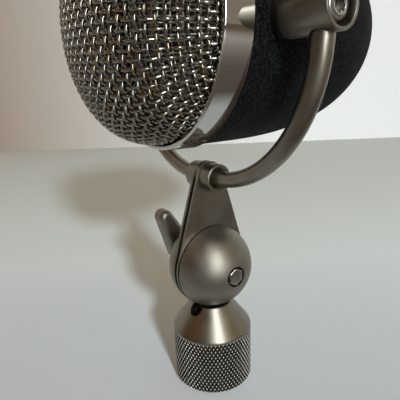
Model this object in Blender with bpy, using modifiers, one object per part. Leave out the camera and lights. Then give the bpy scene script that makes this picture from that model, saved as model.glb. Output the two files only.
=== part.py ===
"""Ribbon microphone in a U-shaped yoke, on a clamped swivel and a threaded stand adaptor.

Frame: metres, +Z up the stand axis, -Y the front (the woven grille), +X along the pivot axis.
The origin is the centre of the adaptor's lower face, where the stand's thread enters.
"""

import math

import bmesh
import bpy
from mathutils import Vector

MM = 0.001

# Clearances
GAP = 0.2 * MM              # between pieces that are fixed together
RUN_GAP = 0.25 * MM         # between pieces that turn on each other
STACK_GAP = 0.15 * MM       # between the flat plates of the swivel
CUT_MARGIN = 1.0 * MM       # how far a cutter runs past a wall

# Stand adaptor
ADAPTOR_RADIUS = 14.3 * MM
ADAPTOR_GRIP_TOP = 19.9 * MM
ADAPTOR_CHAMFER = 1.3 * MM
ADAPTOR_NECK = 10.25 * MM   # height of the cone above the grip
RIM_WALL = 2.05 * MM
CONE_ROUNDING = 4.0 * MM
STAND_BORE_RADIUS = 7.5 * MM
STAND_BORE_DEPTH = 15.0 * MM
SHANK_RADIUS = 5.0 * MM
SHANK_SEAT = 18.4 * MM      # height of the floor of the shank's socket
GRUB_RADIUS = 1.75 * MM
GRUB_SINK = 0.9 * MM        # depth of the grub screw's end below the cone
GRUB_DROP = 2.0 * MM        # from the rim down the cone to the grub screw's axis
GRUB_TURN = math.radians(12)

# Swivel ball, its plates and its clamp
BALL_RADIUS = 14.7 * MM
RIM_CLEARANCE = 0.3 * MM    # between the adaptor's rim and the ball
CHEEK_THICKNESS = 1.0 * MM
TONGUE_THICKNESS = 1.1 * MM
TONGUE_RADIUS = 11.0 * MM
BOLT_RADIUS = 2.5 * MM
BOLT_HEAD_FLATS = 6.4 * MM
BOLT_HEAD_HEIGHT = 3.2 * MM
BOLT_HEAD_SINK = 0.35 * MM
LEVER_SEAT_SINK = 0.8 * MM  # depth of the flat under the lever, from the ball's pole
LEVER_DEPTH = 7.0 * MM
LEVER_NECK = 2.4 * MM
LEVER_HUB_RADIUS = 5.0 * MM
LEVER_NECK_RADIUS = 4.2 * MM
LEVER_TIP_RADIUS = 2.2 * MM
LEVER_REACH = 18.3 * MM
LEVER_ANGLE = math.radians(27)
LEVER_WEB = 1.5 * MM        # metal left over the bolt's end
LEVER_ROUNDING = 0.7 * MM

# Link and yoke
LINK_LENGTH = 31.8 * MM     # ball centre to the middle of the bow
COLLAR_RADIUS = 4.7 * MM
COLLAR_LENGTH = 4.6 * MM
COLLAR_CHAMFER = 0.4 * MM
CHEEK_EYE_WALL = 0.4 * MM   # how far the plates stand out round the collars
ROD_RADIUS_LOW = 2.5 * MM
ROD_RADIUS_TOP = 2.85 * MM
ROD_FLAT_HALF = 5.2 * MM    # straight half of the bow's bottom
ROD_STRAIGHT = 5.0 * MM     # straight top of each arm, up to the pivot axis
BOSS_RADIUS = 5.5 * MM
BOSS_LENGTH = 14.3 * MM
BOSS_CHAMFER = 0.7 * MM
ARM_INSET = 5.0 * MM        # from the boss's outer face to the arm's axis
ROD_SOCKET_WALL = 0.4 * MM

# Pivot screws and washers
PIVOT_RADIUS = 2.0 * MM
PIVOT_HEAD_RADIUS = 3.6 * MM
PIVOT_HEAD_HEIGHT = 4.0 * MM
PIVOT_HEAD_SINK = 0.8 * MM
PIVOT_SOCKET_FLATS = 3.2 * MM
PIVOT_SOCKET_DEPTH = 2.2 * MM
WASHER_RADIUS = 5.2 * MM
WASHER_THICKNESS = 1.5 * MM

# Microphone body, turned about an axis that lies a little above the pivot
AXIS_RISE = 0.8 * MM
BODY_RADIUS = 33.4 * MM
BODY_WALL = 3.6 * MM
BODY_STRAIGHT = 3.7 * MM    # from the pivot back to where the end starts to curve
BODY_END_LENGTH = 62.0 * MM
BODY_END_POWER_ALONG = 2.43
BODY_END_POWER_ACROSS = 2.23
REAR_WALL = 5.0 * MM
SPIGOT_LENGTH = 4.6 * MM
SHOULDER_DEPTH = 4.9 * MM   # from the ring's rear edge back to the bulkhead's seat
SHOULDER_WIDTH = 5.0 * MM
BAND_LENGTH = 14.0 * MM     # thick band behind the shoulder, which takes the pivots and the screws

# Front ring and grille
RING_REAR = 9.9 * MM        # ahead of the pivot
RING_WIDTH = 9.0 * MM
RING_FLARE = 0.9 * MM
RING_WALL = 1.8 * MM
RING_BEAD = 0.8 * MM
RING_BEAD_RISE = 0.35 * MM
GRILLE_WIRE = 1.0 * MM
GRILLE_CELLS = 15
GRILLE_DEPTH = 20.8 * MM
GRILLE_POWER = 2.3
SCREEN_SPACING = 1.2 * MM
SCREEN_THICKNESS = 0.6 * MM

# Ribbon motor on its bulkhead
BULKHEAD_THICKNESS = 3.0 * MM
BULKHEAD_SCREW_RADIUS = 1.0 * MM
BULKHEAD_SCREW_LENGTH = 6.0 * MM
BULKHEAD_SCREW_TURN = math.radians(30)
FRAME_WIDTH = 30.0 * MM
FRAME_DEPTH = 8.0 * MM
FRAME_BAR = 4.0 * MM
MOTOR_CLEARANCE = 2.0 * MM  # between the motor's corners and the inner screen
MOTOR_SCREW_RADIUS = 1.1 * MM
MOTOR_SCREW_HEAD = 0.9 * MM
RIBBON_WIDTH = 4.2 * MM
RIBBON_THICKNESS = 0.3 * MM
RIBBON_WAVES = 14
RIBBON_WAVE_HEIGHT = 0.5 * MM
RIBBON_AIR_GAP = 0.4 * MM
POLE_WIDTH = 2.2 * MM
CLAMP_HEIGHT = 4.0 * MM
CLAMP_GRIP = 2.6 * MM

# Transformer, circuit board and cable socket
CAN_RADIUS = 10.0 * MM
CAN_LENGTH = 19.0 * MM
CAN_FLANGE_THICKNESS = 1.2 * MM
CAN_CLEARANCE = 1.0 * MM    # between the can's flange and the pillars
BOARD_HEIGHT = 20.0 * MM
BOARD_THICKNESS = 1.6 * MM
BOARD_CLEARANCE = 1.6 * MM  # between the board's corners and the shell
PILLAR_INSET = 3.2 * MM     # from the board's edge
PILLAR_LENGTH = 23.0 * MM
PILLAR_FLATS = 4.0 * MM
PILLAR_SCREW_RADIUS = 1.0 * MM
SOCKET_RADIUS = 7.9 * MM
SOCKET_WALL = 1.4 * MM
SOCKET_LENGTH = 19.0 * MM
SOCKET_FLANGE = 1.6 * MM
SOCKET_FACE_WIDTH = 1.4 * MM
INSERT_THICKNESS = 5.0 * MM
PIN_RADIUS = 1.2 * MM
PIN_CIRCLE = 4.5 * MM
PIN_SINK = 3.0 * MM
PIN_TAIL = 3.0 * MM

# Roundness
LARGE_STEPS = 40
MIDDLE_STEPS = 32
SMALL_STEPS = 24
SCREW_STEPS = 12
CURVE_STEPS = 8
HIDDEN_CURVE_STEPS = 5
EDGE_STEPS = 4
BEND_STEPS = 12
ROD_SIDES = 14
MERIDIAN_STEPS = 60

# Proportions
SMALL_HEAD_RATIO = 1.3      # head radius of a bulkhead screw to its shaft's
BOARD_HEAD_RATIO = 1.8      # head radius of a board screw to its shaft's
HEAD_BEVEL_SHARE = 1 / 6    # bevel of a screw head, of its height
FRONT_ROUND_SHARE = 1 / 3   # rounding of the ring's front edge, of its wall
HEX_SIDES = 6
WELD = 0.001 * MM           # points closer than this are one point

# Directions in which a turned or flat piece's local Z can point
UPWARD = (0.0, 0.0, 0.0)
FORWARD = (math.pi / 2, 0.0, 0.0)
RIGHTWARD = (0.0, math.pi / 2, 0.0)
LEFTWARD = (0.0, -math.pi / 2, 0.0)
SIDES = {"right": (1.0, RIGHTWARD), "left": (-1.0, LEFTWARD)}

# Heights on the stand axis
RIM_HEIGHT = ADAPTOR_GRIP_TOP + ADAPTOR_NECK
SHANK_SOCKET_RADIUS = SHANK_RADIUS + GAP
RIM_RADIUS = SHANK_SOCKET_RADIUS + RIM_WALL
BALL_HEIGHT = RIM_HEIGHT + RIM_CLEARANCE + math.sqrt(BALL_RADIUS ** 2 - SHANK_SOCKET_RADIUS ** 2)

# Across the swivel
CHEEK_INNER = TONGUE_THICKNESS / 2 + STACK_GAP
CHEEK_OUTER = CHEEK_INNER + CHEEK_THICKNESS
CAP_BASE = CHEEK_OUTER + STACK_GAP
LEVER_SEAT = BALL_RADIUS - LEVER_SEAT_SINK
LEVER_INNER = LEVER_SEAT + GAP + LEVER_NECK
LEVER_OUTER = LEVER_INNER + LEVER_DEPTH
COLLAR_INNER = CHEEK_OUTER + STACK_GAP

# Along the pivot axis
PIVOT_SEAT = math.sqrt(BODY_RADIUS ** 2 - (WASHER_RADIUS + GAP + AXIS_RISE) ** 2)
WASHER_INNER = PIVOT_SEAT + GAP
BOSS_INNER = WASHER_INNER + WASHER_THICKNESS + RUN_GAP
BOSS_OUTER = BOSS_INNER + BOSS_LENGTH
ARM_OFFSET = BOSS_OUTER - ARM_INSET
ROD_BEND_RADIUS = ARM_OFFSET - ROD_FLAT_HALF
PIVOT_HEIGHT = ROD_BEND_RADIUS + ROD_STRAIGHT
ROD_TOP = PIVOT_HEAD_RADIUS + RUN_GAP + ROD_SOCKET_WALL + GAP

# Along the microphone's axis, forward from the pivot
RING_FRONT = RING_REAR + RING_WIDTH
SPIGOT_FRONT = RING_REAR + SPIGOT_LENGTH
SHOULDER = RING_REAR - SHOULDER_DEPTH
REAR_FACE_RADIUS = SOCKET_RADIUS + SOCKET_WALL + GAP + SOCKET_FACE_WIDTH
MOUTH_RADIUS = BODY_RADIUS - BODY_WALL
BAND_RADIUS = MOUTH_RADIUS - SHOULDER_WIDTH
BAND_REAR = SHOULDER - BAND_LENGTH
RING_INNER_RADIUS = BODY_RADIUS + RING_FLARE - RING_WALL
SPIGOT_RADIUS = RING_INNER_RADIUS - GAP
GRILLE_RADIUS = RING_INNER_RADIUS - GAP - GRILLE_WIRE / 2
RIM_SEAT = SPIGOT_FRONT + GAP
SCREEN_RADIUS = GRILLE_RADIUS - GRILLE_WIRE / 2 - SCREEN_SPACING
BULKHEAD_REAR = SHOULDER + GAP
BULKHEAD_FRONT = BULKHEAD_REAR + BULKHEAD_THICKNESS
FRAME_REAR = BULKHEAD_FRONT + GAP
FRAME_FRONT = FRAME_REAR + FRAME_DEPTH
FRAME_MIDDLE = (FRAME_REAR + FRAME_FRONT) / 2
MOTOR_ROOM = min(MOUTH_RADIUS, SCREEN_RADIUS - SCREEN_THICKNESS) - MOTOR_CLEARANCE
FRAME_HALF_WIDTH = FRAME_WIDTH / 2
FRAME_HALF_HEIGHT = math.sqrt(MOTOR_ROOM ** 2 - FRAME_HALF_WIDTH ** 2)
WINDOW_HALF_WIDTH = FRAME_HALF_WIDTH - FRAME_BAR
WINDOW_HALF_HEIGHT = FRAME_HALF_HEIGHT - FRAME_BAR
MAGNET_HALF_HEIGHT = WINDOW_HALF_HEIGHT - CLAMP_HEIGHT - 2 * GAP
POLE_INNER = RIBBON_WIDTH / 2 + RIBBON_AIR_GAP
POLE_OUTER = POLE_INNER + POLE_WIDTH
PILLAR_RADIUS = PILLAR_FLATS / math.sqrt(3)
PILLAR_REAR = BULKHEAD_REAR - GAP - PILLAR_LENGTH
BULKHEAD_SCREW_CIRCLE = (BAND_RADIUS + MOUTH_RADIUS) / 2


# Outlines and profiles

def arc(centre, radius, start, end, steps):
    """Points on an arc, both ends included."""
    points = []
    for step in range(steps + 1):
        angle = start + (end - start) * step / steps
        points.append((centre[0] + radius * math.cos(angle), centre[1] + radius * math.sin(angle)))
    return points


def circle(radius, centre=(0.0, 0.0), steps=SMALL_STEPS):
    """A closed ring of points."""
    return arc(centre, radius, 0.0, 2 * math.pi * (steps - 1) / steps, steps - 1)


def rectangle(half_width, half_height, centre=(0.0, 0.0)):
    """The four corners of a rectangle."""
    corners = ((1, 1), (-1, 1), (-1, -1), (1, -1))
    return [(centre[0] + x * half_width, centre[1] + y * half_height) for x, y in corners]


def teardrop(big_radius, small_radius, distance, steps=SMALL_STEPS):
    """Two circles, the small one further along the first axis, and their common tangents."""
    lean = math.acos((big_radius - small_radius) / distance)
    big = arc((0.0, 0.0), big_radius, lean, 2 * math.pi - lean, steps)
    small = arc((distance, 0.0), small_radius, -lean, lean, steps // 2)
    return big + small


def rounded_corner(before, corner, after, radius, steps):
    """Points of the arc that rounds a corner between two straight runs."""
    corner = Vector(corner)
    towards = (Vector(before) - corner).normalized()
    away = (Vector(after) - corner).normalized()
    half_angle = towards.angle(away) / 2
    centre = corner + (towards + away).normalized() * radius / math.sin(half_angle)
    first = towards * radius / math.tan(half_angle) - (centre - corner)
    start = math.atan2(first.y, first.x)
    sweep = math.copysign(math.pi - 2 * half_angle, first.cross(away))
    return arc(centre, radius, start, start + sweep, steps)


def end_curve(radius, length, power_along, power_across, smallest, steps):
    """Radius and distance along a rounded end, from its full radius to its smallest one."""
    reach = (1 - (smallest / radius) ** power_across) ** (1 / power_along)
    points = []
    for step in range(steps + 1):
        along = reach * math.sin(math.pi / 2 * step / steps)
        across = (1 - along ** power_along) ** (1 / power_across)
        points.append((radius * across, length * along))
    return points


# Blender objects

def clear_scene():
    """Remove every object and collection of the open file."""
    for obj in list(bpy.data.objects):
        bpy.data.objects.remove(obj, do_unlink=True)
    for collection in list(bpy.data.collections):
        bpy.data.collections.remove(collection)


def new_collection(name):
    """A collection in the scene."""
    collection = bpy.data.collections.new(name)
    bpy.context.scene.collection.children.link(collection)
    return collection


def axis_frame(name, parent, location):
    """An empty that carries the pieces of one body, on its joint's axis."""
    empty = bpy.data.objects.new(name, None)
    empty.empty_display_size = 5 * MM
    empty.parent = parent
    empty.location = location
    parts.objects.link(empty)
    return empty


def finish(name, colour, roughness, metallic):
    """A plain material."""
    material = bpy.data.materials.new(name)
    material.use_nodes = True
    shader = material.node_tree.nodes["Principled BSDF"]
    shader.inputs["Base Color"].default_value = (*colour, 1.0)
    shader.inputs["Roughness"].default_value = roughness
    shader.inputs["Metallic"].default_value = metallic
    return material


def add_object(name, data, collection):
    """A new object in one of the two collections."""
    obj = bpy.data.objects.new(name, data)
    collection.objects.link(obj)
    return obj


def turned(name, profile, closed=False, steps=SMALL_STEPS):
    """A turned piece: the profile of radius and height runs down its outer side."""
    mesh = bpy.data.meshes.new(name)
    points = [(radius, 0.0, height) for radius, height in profile]
    edges = [(index, index + 1) for index in range(len(points) - 1)]
    if closed:
        edges.append((len(points) - 1, 0))
    mesh.from_pydata(points, edges, [])
    obj = add_object(name, mesh, parts)
    screw = obj.modifiers.new("turn", "SCREW")
    screw.steps = steps
    screw.render_steps = steps
    screw.use_merge_vertices = True
    screw.merge_threshold = WELD
    return obj


def tube(name, inner_radius, outer_radius, bottom, top, steps=SMALL_STEPS):
    """A plain sleeve or washer."""
    profile = [(inner_radius, top), (outer_radius, top), (outer_radius, bottom), (inner_radius, bottom)]
    return turned(name, profile, closed=True, steps=steps)


def cylinder(name, radius, bottom, top, steps=SMALL_STEPS):
    """A plain round bar."""
    return turned(name, [(0.0, top), (radius, top), (radius, bottom), (0.0, bottom)], steps=steps)


def headed_pin(name, radius, length, head_radius, head_height, steps=SCREW_STEPS):
    """A screw with its head's underside at zero and its shaft below it."""
    bevel = head_height * HEAD_BEVEL_SHARE
    profile = [
        (0.0, head_height),
        (head_radius - bevel, head_height),
        (head_radius, head_height - bevel),
        (head_radius, 0.0),
        (radius, 0.0),
        (radius, -length),
        (0.0, -length),
    ]
    return turned(name, profile, steps=steps)


def prism(name, sides, radius, bottom, top):
    """A prism with regular faces, about its local Z."""
    mesh = bpy.data.meshes.new(name)
    build = bmesh.new()
    bmesh.ops.create_cone(
        build, cap_ends=True, segments=sides, radius1=radius, radius2=radius, depth=top - bottom
    )
    bmesh.ops.translate(build, vec=(0.0, 0.0, (top + bottom) / 2), verts=build.verts)
    build.to_mesh(mesh)
    build.free()
    return add_object(name, mesh, parts)


def block(name, low, high):
    """A box between two corners."""
    mesh = bpy.data.meshes.new(name)
    build = bmesh.new()
    bmesh.ops.create_cube(build, size=1.0)
    size = Vector(high) - Vector(low)
    bmesh.ops.scale(build, vec=size, verts=build.verts)
    bmesh.ops.translate(build, vec=(Vector(high) + Vector(low)) / 2, verts=build.verts)
    build.to_mesh(mesh)
    build.free()
    return add_object(name, mesh, parts)


def as_mesh(curve_object):
    """The mesh object that takes a curve object's place, with its caps welded."""
    bpy.context.view_layer.update()
    evaluated = curve_object.evaluated_get(bpy.context.evaluated_depsgraph_get())
    mesh = bpy.data.meshes.new_from_object(evaluated)
    build = bmesh.new()
    build.from_mesh(mesh)
    bmesh.ops.remove_doubles(build, verts=build.verts, dist=WELD)
    bmesh.ops.recalc_face_normals(build, faces=build.faces)
    build.to_mesh(mesh)
    build.free()
    name = curve_object.name
    bpy.data.objects.remove(curve_object, do_unlink=True)
    mesh.name = name
    return add_object(name, mesh, parts)


def add_spline(curve, points, cyclic, radii=None):
    """One straight-sided spline of a curve."""
    spline = curve.splines.new("POLY")
    spline.points.add(len(points) - 1)
    for index, place in enumerate(points):
        spline.points[index].co = (*place, 0.0, 1.0) if len(place) == 2 else (*place, 1.0)
        if radii:
            spline.points[index].radius = radii[index]
    spline.use_cyclic_u = cyclic


def plate(name, outlines, thickness):
    """A flat piece about its local XY plane: an outline, then the outlines of its holes."""
    curve = bpy.data.curves.new(name, "CURVE")
    curve.dimensions = "2D"
    curve.fill_mode = "BOTH"
    curve.extrude = thickness / 2
    for outline in outlines:
        add_spline(curve, outline, True)
    return as_mesh(add_object(name, curve, parts))


def place(obj, parent, location=(0.0, 0.0, 0.0), turn=UPWARD, material=None):
    """Put a piece on the frame of its body and give it its finish."""
    obj.parent = parent
    obj.location = location
    obj.rotation_euler = turn
    if material:
        obj.data.materials.append(material)
    return obj


def combine(obj, other, operation):
    """Cut, or join on, another shape, which becomes a hidden helper."""
    for collection in list(other.users_collection):
        collection.objects.unlink(other)
    cutters.objects.link(other)
    other.hide_render = True
    other.display_type = "WIRE"
    boolean = obj.modifiers.new(other.name, "BOOLEAN")
    boolean.operation = operation
    boolean.solver = "EXACT"
    boolean.object = other


def cut(obj, cutter, parent, location=(0.0, 0.0, 0.0), turn=UPWARD):
    """Cut a placed shape out of a piece."""
    combine(obj, place(cutter, parent, location, turn), "DIFFERENCE")


def join(obj, other, parent, location=(0.0, 0.0, 0.0), turn=UPWARD):
    """Join a placed shape on to a piece."""
    combine(obj, place(other, parent, location, turn), "UNION")


# Stand adaptor and the tongue that it carries

def cone_corner():
    """Where the adaptor's grip would meet its cone."""
    return (ADAPTOR_RADIUS, ADAPTOR_GRIP_TOP + CONE_ROUNDING / 2)


def cone_slope():
    """Unit vector down the adaptor's cone, from its rim."""
    return (Vector(cone_corner()) - Vector((RIM_RADIUS, RIM_HEIGHT))).normalized()


def build_adaptor():
    """Turned adaptor: a grip under a cone, a stand bore below and a socket above."""
    rim = (RIM_RADIUS, RIM_HEIGHT)
    foot = (ADAPTOR_RADIUS, ADAPTOR_CHAMFER)
    profile = [(SHANK_SOCKET_RADIUS, RIM_HEIGHT), rim]
    profile += rounded_corner(rim, cone_corner(), foot, CONE_ROUNDING, EDGE_STEPS)
    profile += [
        (ADAPTOR_RADIUS, ADAPTOR_GRIP_TOP),
        foot,
        (ADAPTOR_RADIUS - ADAPTOR_CHAMFER, 0.0),
        (STAND_BORE_RADIUS, 0.0),
        (STAND_BORE_RADIUS, STAND_BORE_DEPTH),
        (0.0, STAND_BORE_DEPTH),
    ]
    profile = [(0.0, SHANK_SEAT - GAP), (SHANK_SOCKET_RADIUS, SHANK_SEAT - GAP)] + profile
    adaptor = turned("stand_adaptor", profile, steps=LARGE_STEPS)
    place(adaptor, stand, material=SATIN_NICKEL)

    slope = cone_slope()
    face = Vector((RIM_RADIUS, RIM_HEIGHT)) + slope * GRUB_DROP
    inward = Vector((-slope.y, slope.x)).normalized()
    if inward.x > 0:
        inward = -inward
    tip = (face.x - GRUB_RADIUS * slope.x - SHANK_RADIUS - GAP) / -inward.x
    lean = math.atan2(-inward.x, -inward.y)
    turn = (lean, 0.0, GRUB_TURN)
    swing = Vector((math.sin(GRUB_TURN), -math.cos(GRUB_TURN)))
    spot = (swing.x * face.x, swing.y * face.x, face.y)
    hole = cylinder("grub_hole", GRUB_RADIUS + GAP, -tip - GRUB_RADIUS, GRUB_DROP + CUT_MARGIN)
    cut(adaptor, hole, stand, spot, turn)
    screw = cylinder("adaptor_grub_screw", GRUB_RADIUS, -tip, -GRUB_SINK)
    key = prism("grub_key", HEX_SIDES, GRUB_RADIUS / 2, -GRUB_SINK - GRUB_RADIUS / 2, CUT_MARGIN)
    place(screw, stand, spot, turn, BLACK_STEEL)
    cut(screw, key, stand, spot, turn)


def build_tongue():
    """Flat tongue between the cheeks, on a round shank in the adaptor."""
    shank_top = BALL_HEIGHT - BALL_RADIUS - RIM_CLEARANCE
    half_width = SHANK_RADIUS - GAP
    drop = BALL_HEIGHT - shank_top + CUT_MARGIN
    lean = math.asin(half_width / TONGUE_RADIUS)
    outline = arc((0.0, 0.0), TONGUE_RADIUS, -math.pi + lean, math.pi - lean, SMALL_STEPS)
    outline += [(-drop, half_width), (-drop, -half_width)]
    tongue = plate("swivel_tongue", [outline, circle(BOLT_RADIUS + RUN_GAP)], TONGUE_THICKNESS)
    place(tongue, stand, (0.0, 0.0, BALL_HEIGHT), LEFTWARD, SATIN_NICKEL)
    join(tongue, cylinder("tongue_shank", SHANK_RADIUS, SHANK_SEAT, shank_top), stand)


# Swivel: plates, ball and clamp

def build_cheeks():
    """Two teardrop plates from the ball up to the bow, and the spacer between their eyes."""
    eye = COLLAR_RADIUS + CHEEK_EYE_WALL
    rod_hole = circle(ROD_RADIUS_LOW + RUN_GAP, (LINK_LENGTH, 0.0))
    outlines = [teardrop(BALL_RADIUS, eye, LINK_LENGTH), circle(BOLT_RADIUS + GAP), rod_hole]
    middle = (CHEEK_INNER + CHEEK_OUTER) / 2
    for side, (sign, _) in SIDES.items():
        cheek = plate("link_cheek_" + side, outlines, CHEEK_THICKNESS)
        place(cheek, swivel, (sign * middle, 0.0, 0.0), LEFTWARD, SATIN_NICKEL)
    half = CHEEK_INNER - STACK_GAP
    spacer = tube("link_spacer", ROD_RADIUS_LOW + RUN_GAP, COLLAR_RADIUS, -half, half)
    place(spacer, swivel, (0.0, 0.0, LINK_LENGTH), RIGHTWARD, SATIN_NICKEL)


def ball_profile(top):
    """Half of the ball outside the cheeks, from a flat near its pole."""
    start = math.asin(min(1.0, top / BALL_RADIUS))
    end = math.asin(CAP_BASE / BALL_RADIUS)
    outer = arc((0.0, 0.0), BALL_RADIUS, start, end, CURVE_STEPS)
    bore = BOLT_RADIUS + GAP
    return [(bore, top)] + outer + [(bore, CAP_BASE)]


def build_ball():
    """Two hemispheres outside the cheeks, and the bolt that draws them together."""
    head_radius = BOLT_HEAD_FLATS / math.sqrt(3)
    pole = math.sqrt(BALL_RADIUS ** 2 - (BOLT_RADIUS + GAP) ** 2)
    head_top = BALL_RADIUS - BOLT_HEAD_SINK
    head_seat = head_top - BOLT_HEAD_HEIGHT
    right = turned("ball_cap_right", ball_profile(pole), closed=True, steps=MIDDLE_STEPS)
    place(right, swivel, turn=RIGHTWARD, material=SATIN_NICKEL)
    recess_top = BALL_RADIUS + CUT_MARGIN
    recess = prism("bolt_recess", HEX_SIDES, head_radius + 2 * GAP, head_seat - GAP, recess_top)
    cut(right, recess, swivel, turn=RIGHTWARD)
    left = turned("ball_cap_left", ball_profile(LEVER_SEAT), closed=True, steps=MIDDLE_STEPS)
    place(left, swivel, turn=LEFTWARD, material=SATIN_NICKEL)
    bolt_end = -LEVER_OUTER + LEVER_WEB + GAP
    bolt = cylinder("swivel_bolt", BOLT_RADIUS, bolt_end, head_seat + BOLT_HEAD_HEIGHT / 2)
    place(bolt, swivel, turn=RIGHTWARD, material=POLISHED_STEEL)
    join(bolt, prism("bolt_head", HEX_SIDES, head_radius, head_seat, head_top), swivel, turn=RIGHTWARD)


def build_lever():
    """Clamp lever on the bolt's end, leaning to the front."""
    distance = LEVER_REACH - LEVER_TIP_RADIUS
    outline = teardrop(LEVER_HUB_RADIUS, LEVER_TIP_RADIUS, distance)
    lever = plate("clamp_lever", [outline], LEVER_DEPTH)
    bevel = lever.modifiers.new("soft_edges", "BEVEL")
    bevel.width = LEVER_ROUNDING
    bevel.segments = 2
    bevel.limit_method = "ANGLE"
    middle = (LEVER_INNER + LEVER_OUTER) / 2
    lever.rotation_mode = "ZYX"
    place(lever, clamp, (-middle, 0.0, 0.0), (LEVER_ANGLE, *LEFTWARD[1:]), SATIN_NICKEL)
    neck = cylinder("lever_neck", LEVER_NECK_RADIUS, LEVER_SEAT + GAP, LEVER_INNER + LEVER_ROUNDING * 2)
    join(lever, neck, clamp, turn=LEFTWARD)
    bore_end = LEVER_OUTER - LEVER_WEB
    bore = cylinder("lever_bore", BOLT_RADIUS + RUN_GAP, LEVER_SEAT - CUT_MARGIN, bore_end)
    cut(lever, bore, clamp, turn=LEFTWARD)


# Yoke: collars, bow and pivot bosses

def build_collars():
    """Collars that hold the bow on both sides of the cheeks."""
    bore = ROD_RADIUS_LOW + RUN_GAP
    outer = COLLAR_INNER + COLLAR_LENGTH
    profile = [
        (bore, outer),
        (COLLAR_RADIUS - COLLAR_CHAMFER, outer),
        (COLLAR_RADIUS, outer - COLLAR_CHAMFER),
        (COLLAR_RADIUS, COLLAR_INNER),
        (bore, COLLAR_INNER),
    ]
    for side, (_, turn) in SIDES.items():
        collar = turned("yoke_collar_" + side, profile, closed=True)
        place(collar, swivel, (0.0, 0.0, LINK_LENGTH), turn, SATIN_NICKEL)


def build_rod():
    """Bow of round rod, a little thinner at its bottom than at its ends."""
    bend = arc((ROD_FLAT_HALF, ROD_BEND_RADIUS), ROD_BEND_RADIUS, -math.pi / 2, 0.0, BEND_STEPS)
    right = [(0.0, 0.0)] + bend + [(ARM_OFFSET, PIVOT_HEIGHT - ROD_TOP)]
    path = [(-x, z) for x, z in reversed(right[1:])] + right
    radii = []
    for x, z in path:
        share = z / PIVOT_HEIGHT
        radii.append((ROD_RADIUS_LOW + (ROD_RADIUS_TOP - ROD_RADIUS_LOW) * share) / ROD_RADIUS_TOP)
    curve = bpy.data.curves.new("yoke_rod", "CURVE")
    curve.dimensions = "3D"
    curve.bevel_depth = ROD_RADIUS_TOP
    curve.bevel_resolution = ROD_SIDES // 2 - 2
    curve.use_fill_caps = True
    add_spline(curve, [(x, 0.0, z) for x, z in path], False, radii)
    rod = as_mesh(add_object("yoke_rod", curve, parts))
    place(rod, swivel, (0.0, 0.0, LINK_LENGTH), material=SATIN_NICKEL)


def build_bosses():
    """Bosses on the bow's ends, bored for the pivot screws."""
    recess = PIVOT_HEAD_RADIUS + RUN_GAP
    recess_floor = BOSS_OUTER - PIVOT_HEAD_SINK - PIVOT_HEAD_HEIGHT - GAP
    bore = PIVOT_RADIUS + RUN_GAP
    profile = [
        (recess, BOSS_OUTER),
        (BOSS_RADIUS - BOSS_CHAMFER, BOSS_OUTER),
        (BOSS_RADIUS, BOSS_OUTER - BOSS_CHAMFER),
        (BOSS_RADIUS, BOSS_INNER + BOSS_CHAMFER),
        (BOSS_RADIUS - BOSS_CHAMFER, BOSS_INNER),
        (bore, BOSS_INNER),
        (bore, recess_floor),
        (recess, recess_floor),
    ]
    pivot_rise = LINK_LENGTH + PIVOT_HEIGHT
    for side, (sign, turn) in SIDES.items():
        boss = turned("yoke_boss_" + side, profile, closed=True)
        place(boss, swivel, (0.0, 0.0, pivot_rise), turn, SATIN_NICKEL)
        socket_top = -ROD_TOP + GAP
        socket = cylinder("rod_socket_" + side, ROD_RADIUS_TOP + GAP, -BOSS_RADIUS - CUT_MARGIN, socket_top)
        cut(boss, socket, swivel, (sign * ARM_OFFSET, 0.0, pivot_rise))


def build_pivots():
    """Screws and washers on which the body tilts in the yoke."""
    head_seat = BOSS_OUTER - PIVOT_HEAD_SINK - PIVOT_HEAD_HEIGHT
    length = head_seat - BAND_RADIUS - GAP
    key_top = PIVOT_HEAD_HEIGHT + CUT_MARGIN
    for side, (sign, turn) in SIDES.items():
        screw = headed_pin(
            "pivot_screw_" + side, PIVOT_RADIUS, length, PIVOT_HEAD_RADIUS, PIVOT_HEAD_HEIGHT, SMALL_STEPS
        )
        spot = (sign * head_seat, 0.0, 0.0)
        place(screw, tilt, spot, turn, POLISHED_STEEL)
        key_floor = PIVOT_HEAD_HEIGHT - PIVOT_SOCKET_DEPTH
        key = prism("pivot_key_" + side, HEX_SIDES, PIVOT_SOCKET_FLATS / math.sqrt(3), key_floor, key_top)
        cut(screw, key, tilt, spot, turn)
        washer_top = WASHER_INNER + WASHER_THICKNESS
        washer = tube("pivot_washer_" + side, PIVOT_RADIUS + GAP, WASHER_RADIUS, WASHER_INNER, washer_top)
        place(washer, tilt, turn=turn, material=BLACK_NYLON)


# Microphone body, ring and grille

def body_end(radius, length, smallest, start, steps):
    """A rounded rear end of the body, from where it starts to curve to the smallest radius."""
    curve = end_curve(radius, length, BODY_END_POWER_ALONG, BODY_END_POWER_ACROSS, smallest, steps)
    return [(across, start - along) for across, along in curve]


def body_outside():
    """The outside of the body's rounded end."""
    return body_end(BODY_RADIUS, BODY_END_LENGTH, REAR_FACE_RADIUS, -BODY_STRAIGHT, CURVE_STEPS)


def rear_face():
    """Distance of the body's flat rear face ahead of the pivot, which is negative."""
    return body_outside()[-1][1]


def cavity_end_radius():
    """Radius of the flat floor of the body's cavity, which seats the socket's flange."""
    return SOCKET_RADIUS + SOCKET_WALL + GAP + 2 * SOCKET_FLANGE


def cavity_length():
    """Length of the curve of the body's cavity, if it ran on to its pole."""
    depth = BAND_REAR - rear_face() - REAR_WALL
    share = (cavity_end_radius() / MOUTH_RADIUS) ** BODY_END_POWER_ACROSS
    return depth / (1 - share) ** (1 / BODY_END_POWER_ALONG)


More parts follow.
